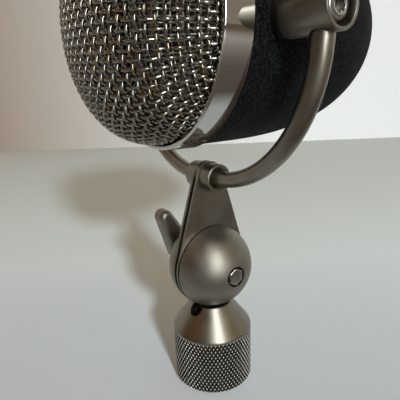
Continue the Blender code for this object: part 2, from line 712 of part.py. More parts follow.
def build_body():
    """Cast shell: a spigot for the ring, a thick band with a shoulder for the bulkhead, a socket bore."""
    bore = SOCKET_RADIUS + SOCKET_WALL + GAP
    inside = body_end(MOUTH_RADIUS, cavity_length(), cavity_end_radius(), BAND_REAR, HIDDEN_CURVE_STEPS)
    profile = [(MOUTH_RADIUS, SPIGOT_FRONT), (SPIGOT_RADIUS, SPIGOT_FRONT), (SPIGOT_RADIUS, RING_REAR)]
    profile += [(BODY_RADIUS, RING_REAR)] + body_outside()
    profile += [(bore, rear_face()), (bore, rear_face() + REAR_WALL)]
    profile += list(reversed(inside))
    profile += [(BAND_RADIUS, BAND_REAR), (BAND_RADIUS, SHOULDER), (MOUTH_RADIUS, SHOULDER)]
    shell = turned("body_shell", profile, closed=True, steps=LARGE_STEPS)
    place(shell, axis, turn=FORWARD, material=BLACK_COAT)
    for side, (_, turn) in SIDES.items():
        seat = cylinder("pivot_seat_" + side, WASHER_RADIUS + GAP, PIVOT_SEAT, BODY_RADIUS + CUT_MARGIN)
        cut(shell, seat, tilt, turn=turn)
        hole = cylinder("pivot_hole_" + side, PIVOT_RADIUS + GAP, BAND_RADIUS / 2, BODY_RADIUS)
        cut(shell, hole, tilt, turn=turn)
    for index, spot in enumerate(bulkhead_screw_spots(), 1):
        depth = SHOULDER + GAP - BULKHEAD_SCREW_LENGTH
        hole = cylinder(f"shoulder_hole_{index}", BULKHEAD_SCREW_RADIUS + GAP, depth, SHOULDER + CUT_MARGIN)
        cut(shell, hole, axis, (spot[0], 0.0, spot[1]), FORWARD)


def build_ring():
    """Polished ring over the spigot, with a bead at its rear and a flared front."""
    bead = RING_BEAD / 2
    bead_radius = BODY_RADIUS + RING_BEAD_RISE
    front_radius = BODY_RADIUS + RING_FLARE
    rear = RING_REAR + GAP
    front_round = RING_WALL * FRONT_ROUND_SHARE
    front = (front_radius - front_round, RING_FRONT - front_round)
    profile = [(RING_INNER_RADIUS, RING_FRONT)]
    profile += arc(front, front_round, math.pi / 2, 0.0, EDGE_STEPS - 1)
    profile += [(BODY_RADIUS, rear + RING_BEAD + bead)]
    profile += arc((bead_radius - bead, rear + bead), bead, math.pi / 3, -math.pi / 2, EDGE_STEPS)
    profile += [(RING_INNER_RADIUS, rear)]
    ring = turned("grille_ring", profile, closed=True, steps=LARGE_STEPS)
    place(ring, axis, turn=FORWARD, material=CHROME)


def dome_curve(radius, depth, steps):
    """Meridian of a grille dome, from its rim behind the ring to its pole."""
    curve = end_curve(radius, depth, GRILLE_POWER, GRILLE_POWER, 0.0, steps)
    return [(across, RING_FRONT + along) for across, along in curve]


def build_grille():
    """Net of square gaps pressed to a dome, with its rim held inside the ring."""
    seat = RIM_SEAT + GRILLE_WIRE / 2
    curve = dome_curve(GRILLE_RADIUS, GRILLE_DEPTH, MERIDIAN_STEPS)
    meridian = [Vector(point) for point in reversed(curve)]
    meridian.append(Vector((GRILLE_RADIUS, seat)))
    lengths = [0.0]
    for before, after in zip(meridian, meridian[1:]):
        lengths.append(lengths[-1] + (after - before).length)
    reach = lengths[-1]

    def pressed(flat):
        """The place on the dome of a point of the flat net."""
        distance = min(flat.length, reach)
        for index in range(1, len(lengths)):
            if distance <= lengths[index]:
                break
        share = (distance - lengths[index - 1]) / (lengths[index] - lengths[index - 1])
        spot = meridian[index - 1].lerp(meridian[index], share)
        heading = flat.normalized() if flat.length else flat
        return Vector((heading.x * spot.x, heading.y * spot.x, spot.y))

    mesh = bpy.data.meshes.new("grille_dome")
    build = bmesh.new()
    bmesh.ops.create_grid(build, x_segments=GRILLE_CELLS, y_segments=GRILLE_CELLS, size=reach)
    outside = [face for face in build.faces if face.calc_center_median().length > reach]
    bmesh.ops.delete(build, geom=outside, context="FACES")
    for vertex in build.verts:
        if vertex.is_boundary:
            vertex.co = vertex.co.normalized() * reach
        vertex.co = pressed(vertex.co)
    build.to_mesh(mesh)
    build.free()
    grille = add_object("grille_dome", mesh, parts)
    wires = grille.modifiers.new("wires", "WIREFRAME")
    wires.thickness = GRILLE_WIRE
    wires.use_even_offset = False
    wires.use_boundary = True
    place(grille, axis, turn=FORWARD, material=WIRE_NICKEL)


def build_screen():
    """Fine inner screen, a thin dome a little inside the net."""
    depth = GRILLE_DEPTH - GRILLE_WIRE / 2 - SCREEN_SPACING
    outer = list(reversed(dome_curve(SCREEN_RADIUS, depth, HIDDEN_CURVE_STEPS)))
    inner_radius = SCREEN_RADIUS - SCREEN_THICKNESS
    inner = dome_curve(inner_radius, depth - SCREEN_THICKNESS, HIDDEN_CURVE_STEPS)
    rim = [(SCREEN_RADIUS, RIM_SEAT), (inner_radius, RIM_SEAT)]
    screen = turned("inner_screen", outer + rim + inner, steps=MIDDLE_STEPS)
    place(screen, axis, turn=FORWARD, material=DARK_GAUZE)


# Ribbon motor

def bulkhead_screw_spots():
    """Places of the four screws through the bulkhead, beside the motor, as right and up."""
    x = BULKHEAD_SCREW_CIRCLE * math.cos(BULKHEAD_SCREW_TURN)
    z = BULKHEAD_SCREW_CIRCLE * math.sin(BULKHEAD_SCREW_TURN)
    return [(x, z), (-x, z), (-x, -z), (x, -z)]


def motor_screw_spots():
    """Places of the four screws in the motor frame's corners, as right and up."""
    x = FRAME_HALF_WIDTH - FRAME_BAR / 2
    z = FRAME_HALF_HEIGHT - FRAME_BAR / 2
    return [(x, z), (-x, z), (-x, -z), (x, -z)]


def board_half_width():
    """Half of the board's width, so that it passes through the shell's band."""
    room = BAND_RADIUS - BOARD_CLEARANCE
    return math.sqrt(room ** 2 - (BOARD_HEIGHT / 2) ** 2)


def pillar_spots():
    """Places of the two pillars that carry the circuit board."""
    x = board_half_width() - PILLAR_INSET
    return [(x, 0.0), (-x, 0.0)]


def build_bulkhead():
    """Disc that closes the body's mouth and carries the motor, the transformer and the board."""
    outlines = [circle(MOUTH_RADIUS - GAP, steps=LARGE_STEPS)]
    outlines += [circle(BULKHEAD_SCREW_RADIUS + GAP, spot, SCREW_STEPS) for spot in bulkhead_screw_spots()]
    outlines += [circle(MOTOR_SCREW_RADIUS + GAP, spot, SCREW_STEPS) for spot in motor_screw_spots()]
    bulkhead = plate("bulkhead", outlines, BULKHEAD_THICKNESS)
    middle = (BULKHEAD_REAR + BULKHEAD_FRONT) / 2
    place(bulkhead, axis, (0.0, -middle, 0.0), FORWARD, ALUMINIUM)
    for index, spot in enumerate(bulkhead_screw_spots(), 1):
        screw = headed_pin(
            f"bulkhead_screw_{index}", BULKHEAD_SCREW_RADIUS, BULKHEAD_SCREW_LENGTH,
            BULKHEAD_SCREW_RADIUS * SMALL_HEAD_RATIO, BULKHEAD_SCREW_RADIUS,
        )
        place(screw, axis, (spot[0], -BULKHEAD_FRONT - GAP, spot[1]), FORWARD, BLACK_STEEL)


def build_motor():
    """Frame, magnets, pole pieces, clamps and the corrugated ribbon between them."""
    window = rectangle(WINDOW_HALF_WIDTH, WINDOW_HALF_HEIGHT)
    holes = [circle(MOTOR_SCREW_RADIUS + GAP, spot, SCREW_STEPS) for spot in motor_screw_spots()]
    outline = rectangle(FRAME_HALF_WIDTH, FRAME_HALF_HEIGHT)
    frame = plate("motor_frame", [outline, window] + holes, FRAME_DEPTH)
    place(frame, axis, (0.0, -FRAME_MIDDLE, 0.0), FORWARD, PLAIN_STEEL)
    for index, spot in enumerate(motor_screw_spots(), 1):
        length = FRAME_DEPTH + BULKHEAD_THICKNESS + GAP
        screw = headed_pin(
            f"motor_screw_{index}", MOTOR_SCREW_RADIUS, length, FRAME_BAR / 2 - GAP, MOTOR_SCREW_HEAD
        )
        place(screw, axis, (spot[0], -FRAME_FRONT - GAP, spot[1]), FORWARD, BLACK_STEEL)

    half_depth = FRAME_DEPTH / 2 - GAP
    half_height = MAGNET_HALF_HEIGHT
    for side, (sign, _) in SIDES.items():
        ends = sorted((sign * (POLE_OUTER + GAP), sign * (WINDOW_HALF_WIDTH - GAP)))
        low = (ends[0], -half_height, -half_depth)
        high = (ends[1], half_height, half_depth)
        magnet = block("magnet_" + side, low, high)
        place(magnet, axis, (0.0, -FRAME_MIDDLE, 0.0), FORWARD, MAGNET_BLACK)
        tip = half_depth / 2
        inner = sign * POLE_INNER
        outer = sign * POLE_OUTER
        outline = [(outer, -half_depth), (outer, half_depth), (inner, tip), (inner, -tip)]
        pole = plate("pole_piece_" + side, [outline], 2 * half_height)
        place(pole, axis, (0.0, -FRAME_MIDDLE, 0.0), UPWARD, PLAIN_STEEL)

    clamp_low = WINDOW_HALF_HEIGHT - GAP - CLAMP_HEIGHT
    slot_half = RIBBON_THICKNESS / 2 + RIBBON_WAVE_HEIGHT / 2 + GAP
    for name, sign in (("upper", 1.0), ("lower", -1.0)):
        ends = sorted((sign * clamp_low, sign * (clamp_low + CLAMP_HEIGHT)))
        jaw = block(
            "ribbon_clamp_" + name,
            (-POLE_OUTER - RIBBON_WIDTH / 2, ends[0], -half_depth),
            (POLE_OUTER + RIBBON_WIDTH / 2, ends[1], half_depth),
        )
        place(jaw, axis, (0.0, -FRAME_MIDDLE, 0.0), FORWARD, BRASS)
        slot_ends = sorted((sign * (clamp_low - CUT_MARGIN), sign * (clamp_low + CLAMP_GRIP + GAP)))
        slot = block(
            "ribbon_slot_" + name,
            (-RIBBON_WIDTH / 2 - GAP, slot_ends[0], -slot_half),
            (RIBBON_WIDTH / 2 + GAP, slot_ends[1], slot_half),
        )
        cut(jaw, slot, axis, (0.0, -FRAME_MIDDLE, 0.0), FORWARD)

    half_length = clamp_low + CLAMP_GRIP
    build_ribbon(half_length)


def build_ribbon(half_length):
    """Corrugated ribbon, an open zigzag strip given its thickness."""
    points = []
    for step in range(2 * RIBBON_WAVES + 1):
        height = -half_length + half_length * step / RIBBON_WAVES
        swing = RIBBON_WAVE_HEIGHT / 2 * (-1) ** step
        points.append((swing, height))
    mesh = bpy.data.meshes.new("ribbon")
    build = bmesh.new()
    rows = []
    for swing, height in points:
        left = build.verts.new((-RIBBON_WIDTH / 2, height, swing))
        right = build.verts.new((RIBBON_WIDTH / 2, height, swing))
        rows.append((left, right))
    for (left, right), (next_left, next_right) in zip(rows, rows[1:]):
        build.faces.new((left, right, next_right, next_left))
    build.to_mesh(mesh)
    build.free()
    ribbon = add_object("ribbon", mesh, parts)
    solid = ribbon.modifiers.new("thickness", "SOLIDIFY")
    solid.thickness = RIBBON_THICKNESS
    solid.offset = 0.0
    place(ribbon, axis, (0.0, -FRAME_MIDDLE, 0.0), FORWARD, FOIL)


# Transformer, board and cable socket

def build_transformer():
    """Screened output transformer on the bulkhead's rear face."""
    front = BULKHEAD_REAR - GAP
    flange = pillar_spots()[0][0] - PILLAR_RADIUS - CAN_CLEARANCE
    profile = [
        (0.0, front),
        (flange, front),
        (flange, front - CAN_FLANGE_THICKNESS),
        (CAN_RADIUS, front - CAN_FLANGE_THICKNESS),
        (CAN_RADIUS, front - CAN_LENGTH),
        (0.0, front - CAN_LENGTH),
    ]
    place(turned("output_transformer", profile), axis, turn=FORWARD, material=PLAIN_STEEL)


def build_board():
    """Circuit board on two pillars behind the transformer."""
    holes = [circle(PILLAR_SCREW_RADIUS + GAP, spot, SCREW_STEPS) for spot in pillar_spots()]
    outline = rectangle(board_half_width(), BOARD_HEIGHT / 2)
    board = plate("circuit_board", [outline] + holes, BOARD_THICKNESS)
    board_front = PILLAR_REAR - GAP
    place(board, axis, (0.0, -board_front + BOARD_THICKNESS / 2, 0.0), FORWARD, BOARD_GREEN)
    for side, spot in zip(("right", "left"), pillar_spots()):
        pillar = prism("board_pillar_" + side, HEX_SIDES, PILLAR_RADIUS, PILLAR_REAR, BULKHEAD_REAR - GAP)
        place(pillar, axis, (spot[0], 0.0, spot[1]), FORWARD, BRASS)
        screw_length = BOARD_THICKNESS + PILLAR_FLATS
        hole_radius = PILLAR_SCREW_RADIUS + GAP
        hole = cylinder("pillar_hole_" + side, hole_radius, -CUT_MARGIN, screw_length + GAP, SCREW_STEPS)
        cut(pillar, hole, axis, (spot[0], -PILLAR_REAR, spot[1]), FORWARD)
        head = PILLAR_SCREW_RADIUS * BOARD_HEAD_RATIO
        screw = headed_pin(
            "board_screw_" + side, PILLAR_SCREW_RADIUS, screw_length, head, PILLAR_SCREW_RADIUS
        )
        rear = board_front - BOARD_THICKNESS - GAP
        place(screw, axis, (spot[0], -rear, spot[1]), (-math.pi / 2, 0.0, 0.0), BLACK_STEEL)


def pin_spots():
    """Places of the socket's three contacts."""
    return [(PIN_CIRCLE, 0.0), (-PIN_CIRCLE, 0.0), (0.0, -PIN_CIRCLE)]


def build_socket():
    """Three-pole cable socket in the body's rear bore."""
    face = rear_face()
    seat = face + REAR_WALL + GAP
    inner_end = face + SOCKET_LENGTH
    outer = SOCKET_RADIUS + SOCKET_WALL
    ledge = SOCKET_RADIUS - SOCKET_WALL / 2
    insert_rear = inner_end - SOCKET_WALL - GAP - INSERT_THICKNESS
    profile = [
        (ledge, inner_end),
        (outer + SOCKET_FLANGE, inner_end),
        (outer + SOCKET_FLANGE, seat),
        (outer, seat),
        (outer, face),
        (SOCKET_RADIUS, face),
        (SOCKET_RADIUS, inner_end - SOCKET_WALL),
        (ledge, inner_end - SOCKET_WALL),
    ]
    sleeve = turned("socket_sleeve", profile, closed=True, steps=MIDDLE_STEPS)
    place(sleeve, axis, turn=FORWARD, material=SATIN_NICKEL)
    outlines = [circle(SOCKET_RADIUS - GAP, steps=MIDDLE_STEPS)]
    outlines += [circle(PIN_RADIUS + GAP, spot, SCREW_STEPS) for spot in pin_spots()]
    insert = plate("socket_insert", outlines, INSERT_THICKNESS)
    place(insert, axis, (0.0, -insert_rear - INSERT_THICKNESS / 2, 0.0), FORWARD, BLACK_NYLON)
    tip = face + PIN_SINK
    tail = insert_rear + INSERT_THICKNESS + PIN_TAIL
    for index, spot in enumerate(pin_spots(), 1):
        profile = [
            (0.0, tail),
            (PIN_RADIUS, tail),
            (PIN_RADIUS, tip + PIN_RADIUS / 2),
            (PIN_RADIUS / 2, tip),
            (0.0, tip),
        ]
        pin = turned(f"contact_pin_{index}", profile, steps=SCREW_STEPS)
        place(pin, axis, (spot[0], 0.0, spot[1]), FORWARD, GOLD)


clear_scene()
parts = new_collection("ribbon_microphone")
cutters = new_collection("cutters")

SATIN_NICKEL = finish("satin nickel", (0.42, 0.39, 0.34), 0.34, 1.0)
CHROME = finish("chrome", (0.62, 0.60, 0.57), 0.06, 1.0)
WIRE_NICKEL = finish("bright wire", (0.55, 0.52, 0.47), 0.22, 1.0)
BLACK_COAT = finish("black textured coat", (0.012, 0.012, 0.013), 0.7, 0.0)
BLACK_NYLON = finish("black nylon", (0.015, 0.015, 0.015), 0.5, 0.0)
BLACK_STEEL = finish("black steel", (0.03, 0.03, 0.03), 0.4, 1.0)
POLISHED_STEEL = finish("polished steel", (0.55, 0.54, 0.52), 0.15, 1.0)
PLAIN_STEEL = finish("plain steel", (0.35, 0.35, 0.35), 0.4, 1.0)
DARK_GAUZE = finish("dark gauze", (0.06, 0.055, 0.05), 0.5, 1.0)
ALUMINIUM = finish("aluminium", (0.55, 0.55, 0.56), 0.35, 1.0)
MAGNET_BLACK = finish("sintered magnet", (0.05, 0.05, 0.055), 0.5, 1.0)
BRASS = finish("brass", (0.6, 0.45, 0.2), 0.3, 1.0)
FOIL = finish("aluminium foil", (0.8, 0.8, 0.8), 0.2, 1.0)
BOARD_GREEN = finish("board green", (0.02, 0.12, 0.05), 0.5, 0.0)
GOLD = finish("gold plate", (0.75, 0.55, 0.2), 0.2, 1.0)

stand = axis_frame("stand_frame", None, (0.0, 0.0, 0.0))
swivel = axis_frame("swivel_axis", stand, (0.0, 0.0, BALL_HEIGHT))
clamp = axis_frame("lever_axis", swivel, (0.0, 0.0, 0.0))
tilt = axis_frame("tilt_axis", swivel, (0.0, 0.0, LINK_LENGTH + PIVOT_HEIGHT))
axis = axis_frame("microphone_axis", tilt, (0.0, 0.0, AXIS_RISE))

build_adaptor()
build_tongue()
build_cheeks()
build_ball()
build_lever()
build_collars()
build_rod()
build_bosses()
build_pivots()
build_body()
build_ring()
build_grille()
build_screen()
build_bulkhead()
build_motor()
build_transformer()
build_board()
build_socket()
bpy.context.view_layer.update()
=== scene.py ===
"""Looks of a ribbon microphone in its yoke: fine pieces, finishes and a small studio."""

import math
from typing import NamedTuple

import bmesh
import bpy
from bpy.props import FloatProperty, FloatVectorProperty, IntProperty, PointerProperty
from bpy.types import Operator, Panel, PropertyGroup
from mathutils import Matrix, Vector


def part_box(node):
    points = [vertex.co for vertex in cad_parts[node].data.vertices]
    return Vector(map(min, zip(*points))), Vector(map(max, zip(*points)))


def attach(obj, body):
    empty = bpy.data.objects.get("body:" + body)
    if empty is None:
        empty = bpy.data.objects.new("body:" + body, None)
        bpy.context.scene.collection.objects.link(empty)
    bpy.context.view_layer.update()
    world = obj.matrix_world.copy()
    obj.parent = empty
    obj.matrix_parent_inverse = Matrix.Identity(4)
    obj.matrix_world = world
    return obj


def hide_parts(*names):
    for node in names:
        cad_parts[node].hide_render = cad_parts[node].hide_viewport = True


bl_info = {
    "name": "Ribbon microphone looks",
    "version": (1, 0, 0),
    "blender": (4, 5, 0),
    "location": "3D View > Sidebar > Microphone",
    "description": "Builds the fine pieces, finishes and stage of a ribbon microphone on its CAD frame",
    "category": "Object",
}

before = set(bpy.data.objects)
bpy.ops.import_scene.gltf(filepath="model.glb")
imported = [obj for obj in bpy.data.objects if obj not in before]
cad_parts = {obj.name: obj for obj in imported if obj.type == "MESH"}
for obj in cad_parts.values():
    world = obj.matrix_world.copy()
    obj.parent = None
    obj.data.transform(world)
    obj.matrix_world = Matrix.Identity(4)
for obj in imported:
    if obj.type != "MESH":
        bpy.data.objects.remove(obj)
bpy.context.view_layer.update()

MM = 0.001
WELD = 0.001 * MM
QUARTER = math.pi / 2
BEVEL_FROM = math.radians(40)   # edges sharper than this are rounded
FLAT_WEIGHT = 80   # how much a large face holds the normals beside it
NOISE_RUN = (0.3, 0.7)   # where most of a noise lies
TONE_RUN = (0.35, 0.65)   # where a noise turns a dark tone into a light one
SENSOR_WIDTH = 36.0   # millimetres
PAPER_ROUGHNESS = 0.9
PAPER_SHINE = 0.1
SIDES = {"right": 1.0, "left": -1.0}


def low(node):
    """Lowest corner of a CAD node."""
    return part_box(node)[0]


def high(node):
    """Highest corner of a CAD node."""
    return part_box(node)[1]


def middle(node):
    """Middle of a CAD node's box."""
    return (low(node) + high(node)) / 2


# Properties

def measured(name, description, metres):
    """A length, taken from the CAD model."""
    return FloatProperty(name=name, description=description, default=metres, unit="LENGTH", precision=5)


def size(name, description, millimetres):
    """A length, given in millimetres."""
    return measured(name, description, millimetres * MM)


def share(name, description, default):
    """A plain number."""
    return FloatProperty(name=name, description=description, default=default, precision=4)


def angle(name, description, degrees):
    """An angle, given in degrees."""
    return FloatProperty(name=name, description=description, default=math.radians(degrees), subtype="ANGLE")


def count(name, description, default):
    """A number of like things."""
    return IntProperty(name=name, description=description, default=default, min=1)


def tone(name, description, default):
    """A colour."""
    return FloatVectorProperty(
        name=name, description=description, default=default, size=3, min=0.0, max=1.0, subtype="COLOR"
    )


def point(name, description, default):
    """A place or a direction."""
    return FloatVectorProperty(
        name=name, description=description, default=default, size=3, precision=6, subtype="XYZ"
    )


class AdaptorSizes(PropertyGroup):
    """Sizes of the stand adaptor."""
    grip_radius: measured("Grip radius", "Outer radius of the knurled grip", high("stand_adaptor").x)
    grip_top: size("Grip top", "Height at which the knurl ends", 19.9)
    foot_chamfer: size("Foot chamfer", "Chamfer of the lower edge", 1.3)
    rim_radius: size("Rim radius", "Outer radius of the rim under the ball", 7.25)
    rim_height: measured("Rim height", "Height of the rim", high("stand_adaptor").z)
    cone_rounding: size("Cone rounding", "Rounding between cone and grip", 2.0)
    socket_radius: size("Socket radius", "Radius of the socket for the shank", 5.2)
    socket_floor: size("Socket floor", "Height of the socket's floor", 18.2)
    bore_radius: size("Bore radius", "Crest radius of the stand thread", 7.5)
    bore_depth: size("Bore depth", "Depth of the stand bore", 15.0)
    thread_pitch: size("Thread pitch", "Pitch of the stand thread", 25.4 / 27)
    thread_depth: size("Thread depth", "Depth of the stand thread", 0.44)
    edge: size("Edge", "Rounding of the turned edges", 0.25)
    knurl_teeth: count("Knurl teeth", "Diamonds round the grip", 66)
    knurl_rows: count("Knurl rows", "Half rows of diamonds down the grip", 17)
    knurl_depth: size("Knurl depth", "Depth of the knurl's grooves", 0.42)
    knurl_foot: size("Knurl foot", "Height at which the knurl is cut off below", 0.95)
    knurl_flat: share("Knurl flat", "Width of a diamond's flat tip, of its foot", 0.36)
    # Painted shade fills the knurl's grooves up to the first of these heights, and the tips are left in their
    # painted highlight colour from the second.
    shade_top: share("Grime top", "Height up to which the knurl is dark, of its depth", 0.76)
    highlight_foot: share("Worn foot", "Height from which the knurl is bright, of its depth", 0.98)
    grub_radius: size("Grub screw radius", "Radius of the grub screw", 1.75)
    grub_gap: size("Grub screw gap", "Gap round the grub screw", 0.8)
    grub_drop: size("Grub screw drop", "From the rim down the cone to the grub screw", 1.0)
    grub_sink: size("Grub screw sink", "Depth of the grub screw below the cone", 1.7)
    grub_depth: size("Grub screw depth", "Depth of the grub hole", 5.4)
    grub_turn: angle("Grub screw turn", "Turn of the grub screw from the front", 8.5)


class SwivelSizes(PropertyGroup):
    """Sizes of the ball, its plates, bolt and lever."""
    ball_height: measured("Ball height", "Height of the ball's centre", middle("swivel_bolt").z)
    ball_radius: measured("Ball radius", "Radius of the ball and its plates", high("ball_cap_right").y)
    link_length: measured(
        "Link length", "From the ball's centre up to the bow",
        middle("yoke_collar_right").z - middle("swivel_bolt").z,
    )
    eye_radius: size("Eye radius", "Radius of the plates round the bow", 5.1)
    rod_hole: size("Rod hole", "Radius of the hole for the bow", 2.75)
    bolt_radius: size("Bolt radius", "Radius of the clamp bolt", 2.5)
    bolt_gap: size("Bolt gap", "Gap round the bolt", 0.2)
    head_flats: size("Bolt head flats", "Width of the bolt's hexagon across its flats", 5.3)
    head_height: size("Bolt head height", "Height of the bolt's head", 3.2)
    head_recess: size("Bolt head recess", "Radius of the round recess for the bolt's head", 3.55)
    seam: size("Seam", "Depth of the step that the plates have round the ball", 0.3)
    edge: size("Edge", "Rounding of the plates' edges", 0.22)
    lever_lean: angle("Lever lean", "Lean of the clamp lever to the front", 25)
    lever_hub: size("Lever hub", "Radius of the lever's hub", 5.0)
    lever_tip: size("Lever tip", "Radius of the lever's tip", 2.8)
    lever_reach: size("Lever reach", "From the bolt's axis to the lever's tip", 18.3)
    lever_depth: size("Lever depth", "Thickness of the lever along the bolt", 7.0)
    lever_neck: size("Lever neck", "Radius of the lever's neck", 4.2)
    lever_edge: size("Lever edge", "Rounding of the lever's edges", 2.0)


class YokeSizes(PropertyGroup):
    """Sizes of the bow, its collars, bosses and pivots."""
    pivot_height: measured("Pivot height", "Height of the pivot axis", middle("pivot_washer_right").z)
    bow_height: measured("Bow height", "Height of the middle of the bow", middle("yoke_collar_right").z)
    rod_low: size("Rod radius low", "Radius of the rod at the bottom", 2.5)
    rod_top: size("Rod radius top", "Radius of the rod at its ends", 2.85)
    rod_flat: size("Rod flat", "Half of the straight bottom of the bow", 5.2)
    rod_bend: size("Rod bend", "Bend radius of the bow", 38.87)
    arm_inset: size("Arm inset", "From the boss's outer face to the arm's axis", 5.0)
    rod_neck: size("Rod neck", "How far the rod's end is drawn in under the boss", 0.55)
    collar_radius: measured("Collar radius", "Radius of the collars", high("yoke_collar_right").y)
    collar_chamfer: size("Collar chamfer", "Chamfer of the collars' outer edge", 0.4)
    boss_radius: size("Boss radius", "Radius of the bosses", 5.5)
    boss_chamfer: size("Boss chamfer", "Chamfer of the bosses' ends", 0.4)
    boss_rim: size("Boss rim", "Width of the rim round the screw's head", 0.95)
    recess_depth: size("Recess depth", "Depth of the recess for the screw's head", 5.0)
    pivot_radius: size("Pivot radius", "Radius of the pivot screws", 2.0)
    head_radius: size("Screw head radius", "Radius of the pivot screws' heads", 3.75)
    head_height: size("Screw head height", "Height of the pivot screws' heads", 4.0)
    key_flats: size("Key flats", "Width of the screws' hexagon sockets", 3.2)
    key_depth: size("Key depth", "Depth of the screws' hexagon sockets", 2.2)
    edge: size("Edge", "Rounding of the turned edges", 0.15)


class BodySizes(PropertyGroup):
    """Sizes of the body, its ring and its cable socket."""
    axis_height: measured("Axis height", "Height of the microphone's axis", middle("grille_ring").z)
    radius: size("Body radius", "Radius of the body at the pivots", 33.4)
    straight: size("Straight", "From the pivot back to where the body starts to round", 3.7)
    end_length: size("End length", "Length of the rounded end, if it ran on to its pole", 62.0)
    end_along: share("End power along", "Fullness of the rounded end along the axis", 2.43)
    end_across: share("End power across", "Fullness of the rounded end across the axis", 2.23)
    wall: size("Wall", "Thickness of the shell", 3.6)
    rear_wall: size("Rear wall", "Thickness of the shell's rear end", 5.0)
    face_radius: size("Face radius", "Radius of the flat rear face", 10.9)
    face_edge: size("Face edge", "Rounding of the rear face's edges", 0.5)
    seat_radius: size("Seat radius", "Radius of the flat seats of the washers", 5.4)
    seat_gap: size("Seat gap", "Gap between the seats and the washers", 0.2)
    spigot_radius: size("Spigot radius", "Radius of the spigot in the ring", 32.3)
    spigot_front: size("Spigot front", "Front of the spigot, ahead of the pivot", 14.5)
    ring_rear: measured("Ring rear", "Rear of the ring, ahead of the pivot", -high("grille_ring").y)
    ring_front: measured("Ring front", "Front of the ring, ahead of the pivot", -low("grille_ring").y)
    ring_flare: size("Ring flare", "How far the ring stands out from the body", 0.9)
    ring_swell: size("Ring swell", "How much the ring widens from its front to its bead", 0.5)
    ring_wall: size("Ring wall", "Thickness of the ring at its front", 1.8)
    bead_width: size("Bead width", "Width of the bead at the ring's rear", 0.5)
    bead_rise: size("Bead rise", "How far the bead stands out", 0.35)
    socket_radius: size("Socket radius", "Inner radius of the cable socket", 7.9)
    socket_wall: size("Socket wall", "Wall of the cable socket", 1.4)
    pin_radius: size("Pin radius", "Radius of the contacts", 1.2)


class GrilleSizes(PropertyGroup):
    """Sizes of the woven dome and of the finer gauze behind it."""
    radius: size("Dome radius", "Radius of the weave's middle at the ring", 31.4)
    depth: size("Dome depth", "Depth of the weave's middle ahead of the ring", 20.4)
    power: share("Dome power", "Fullness of the dome", 2.3)
    skirt: size("Skirt", "How far the weave runs on into the ring", 3.4)
    upright_pitch: size("Upright pitch", "Distance between the upright wires", 2.27)
    level_pitch: size("Level pitch", "Distance between the level wires", 2.07)
    upright_shift: size("Upright shift", "Shift of the upright wires to the right", 0.98)
    level_shift: size("Level shift", "Shift of the level wires upwards", -0.83)
    turn: angle("Turn", "Turn of the weave on the dome", -4)
    wire: size("Wire", "Radius of the wires", 0.41)
    crimp: size("Crimp", "How far the wires wave in and out", 0.41)
    gauze_radius: size("Gauze radius", "Radius of the gauze at the ring", 29.8)
    gauze_depth: size("Gauze depth", "Depth of the gauze ahead of the ring", 18.8)
    gauze_pitch: size("Gauze pitch", "Distance between the gauze's wires", 1.35)
    gauze_wire: size("Gauze wire", "Radius of the gauze's wires", 0.22)


class Finishes(PropertyGroup):
    """Colours of the finishes."""
    nickel: tone("Satin nickel", "Blasted and plated nickel", (0.275, 0.25, 0.208))
    nickel_shade: tone("Satin nickel shade", "Darker drift of the nickel", (0.235, 0.21, 0.17))
    # The knurl's tips are painted much brighter than the nickel: a painted highlight.
    nickel_tip: tone("Nickel tip", "Nickel worn bright on the knurl's tips", (0.78, 0.75, 0.69))
    # Colour of the painted shade in the knurl's grooves
    groove_shade_tone: tone("Groove", "Dark of the knurl's grooves", (0.008, 0.006, 0.005))
    chrome: tone("Chrome", "Polished plating", (0.62, 0.60, 0.57))
    wire: tone("Bright wire", "Nickel wire", (0.38, 0.36, 0.325))
    wire_tarnish: tone("Wire tarnish", "Warm tarnish on the wire", (0.34, 0.27, 0.18))
    gauze: tone("Gauze", "Dull gauze wire", (0.74, 0.71, 0.65))
    coat: tone("Black coat", "Matte textured coat", (0.0012, 0.0013, 0.0015))
    coat_grain: tone("Black coat grain", "High spots of the coat", (0.020, 0.022, 0.025))
    nylon: tone("Black nylon", "Washers and insulator", (0.012, 0.012, 0.012))
    black_steel: tone("Black steel", "Blackened screws", (0.035, 0.034, 0.033))
    polished: tone("Polished steel", "Polished screws", (0.50, 0.485, 0.455))
    steel: tone("Plain steel", "Soft iron and steel", (0.34, 0.335, 0.33))
    magnet: tone("Magnet", "Sintered magnet", (0.055, 0.055, 0.06))
    aluminium: tone("Aluminium", "Machined aluminium", (0.44, 0.44, 0.45))
    brass: tone("Brass", "Clamps and pillars", (0.58, 0.42, 0.17))
    foil: tone("Foil", "Ribbon", (0.78, 0.78, 0.78))
    board: tone("Board", "Solder resist", (0.02, 0.11, 0.045))
    gold: tone("Gold plate", "Contacts", (0.76, 0.55, 0.21))


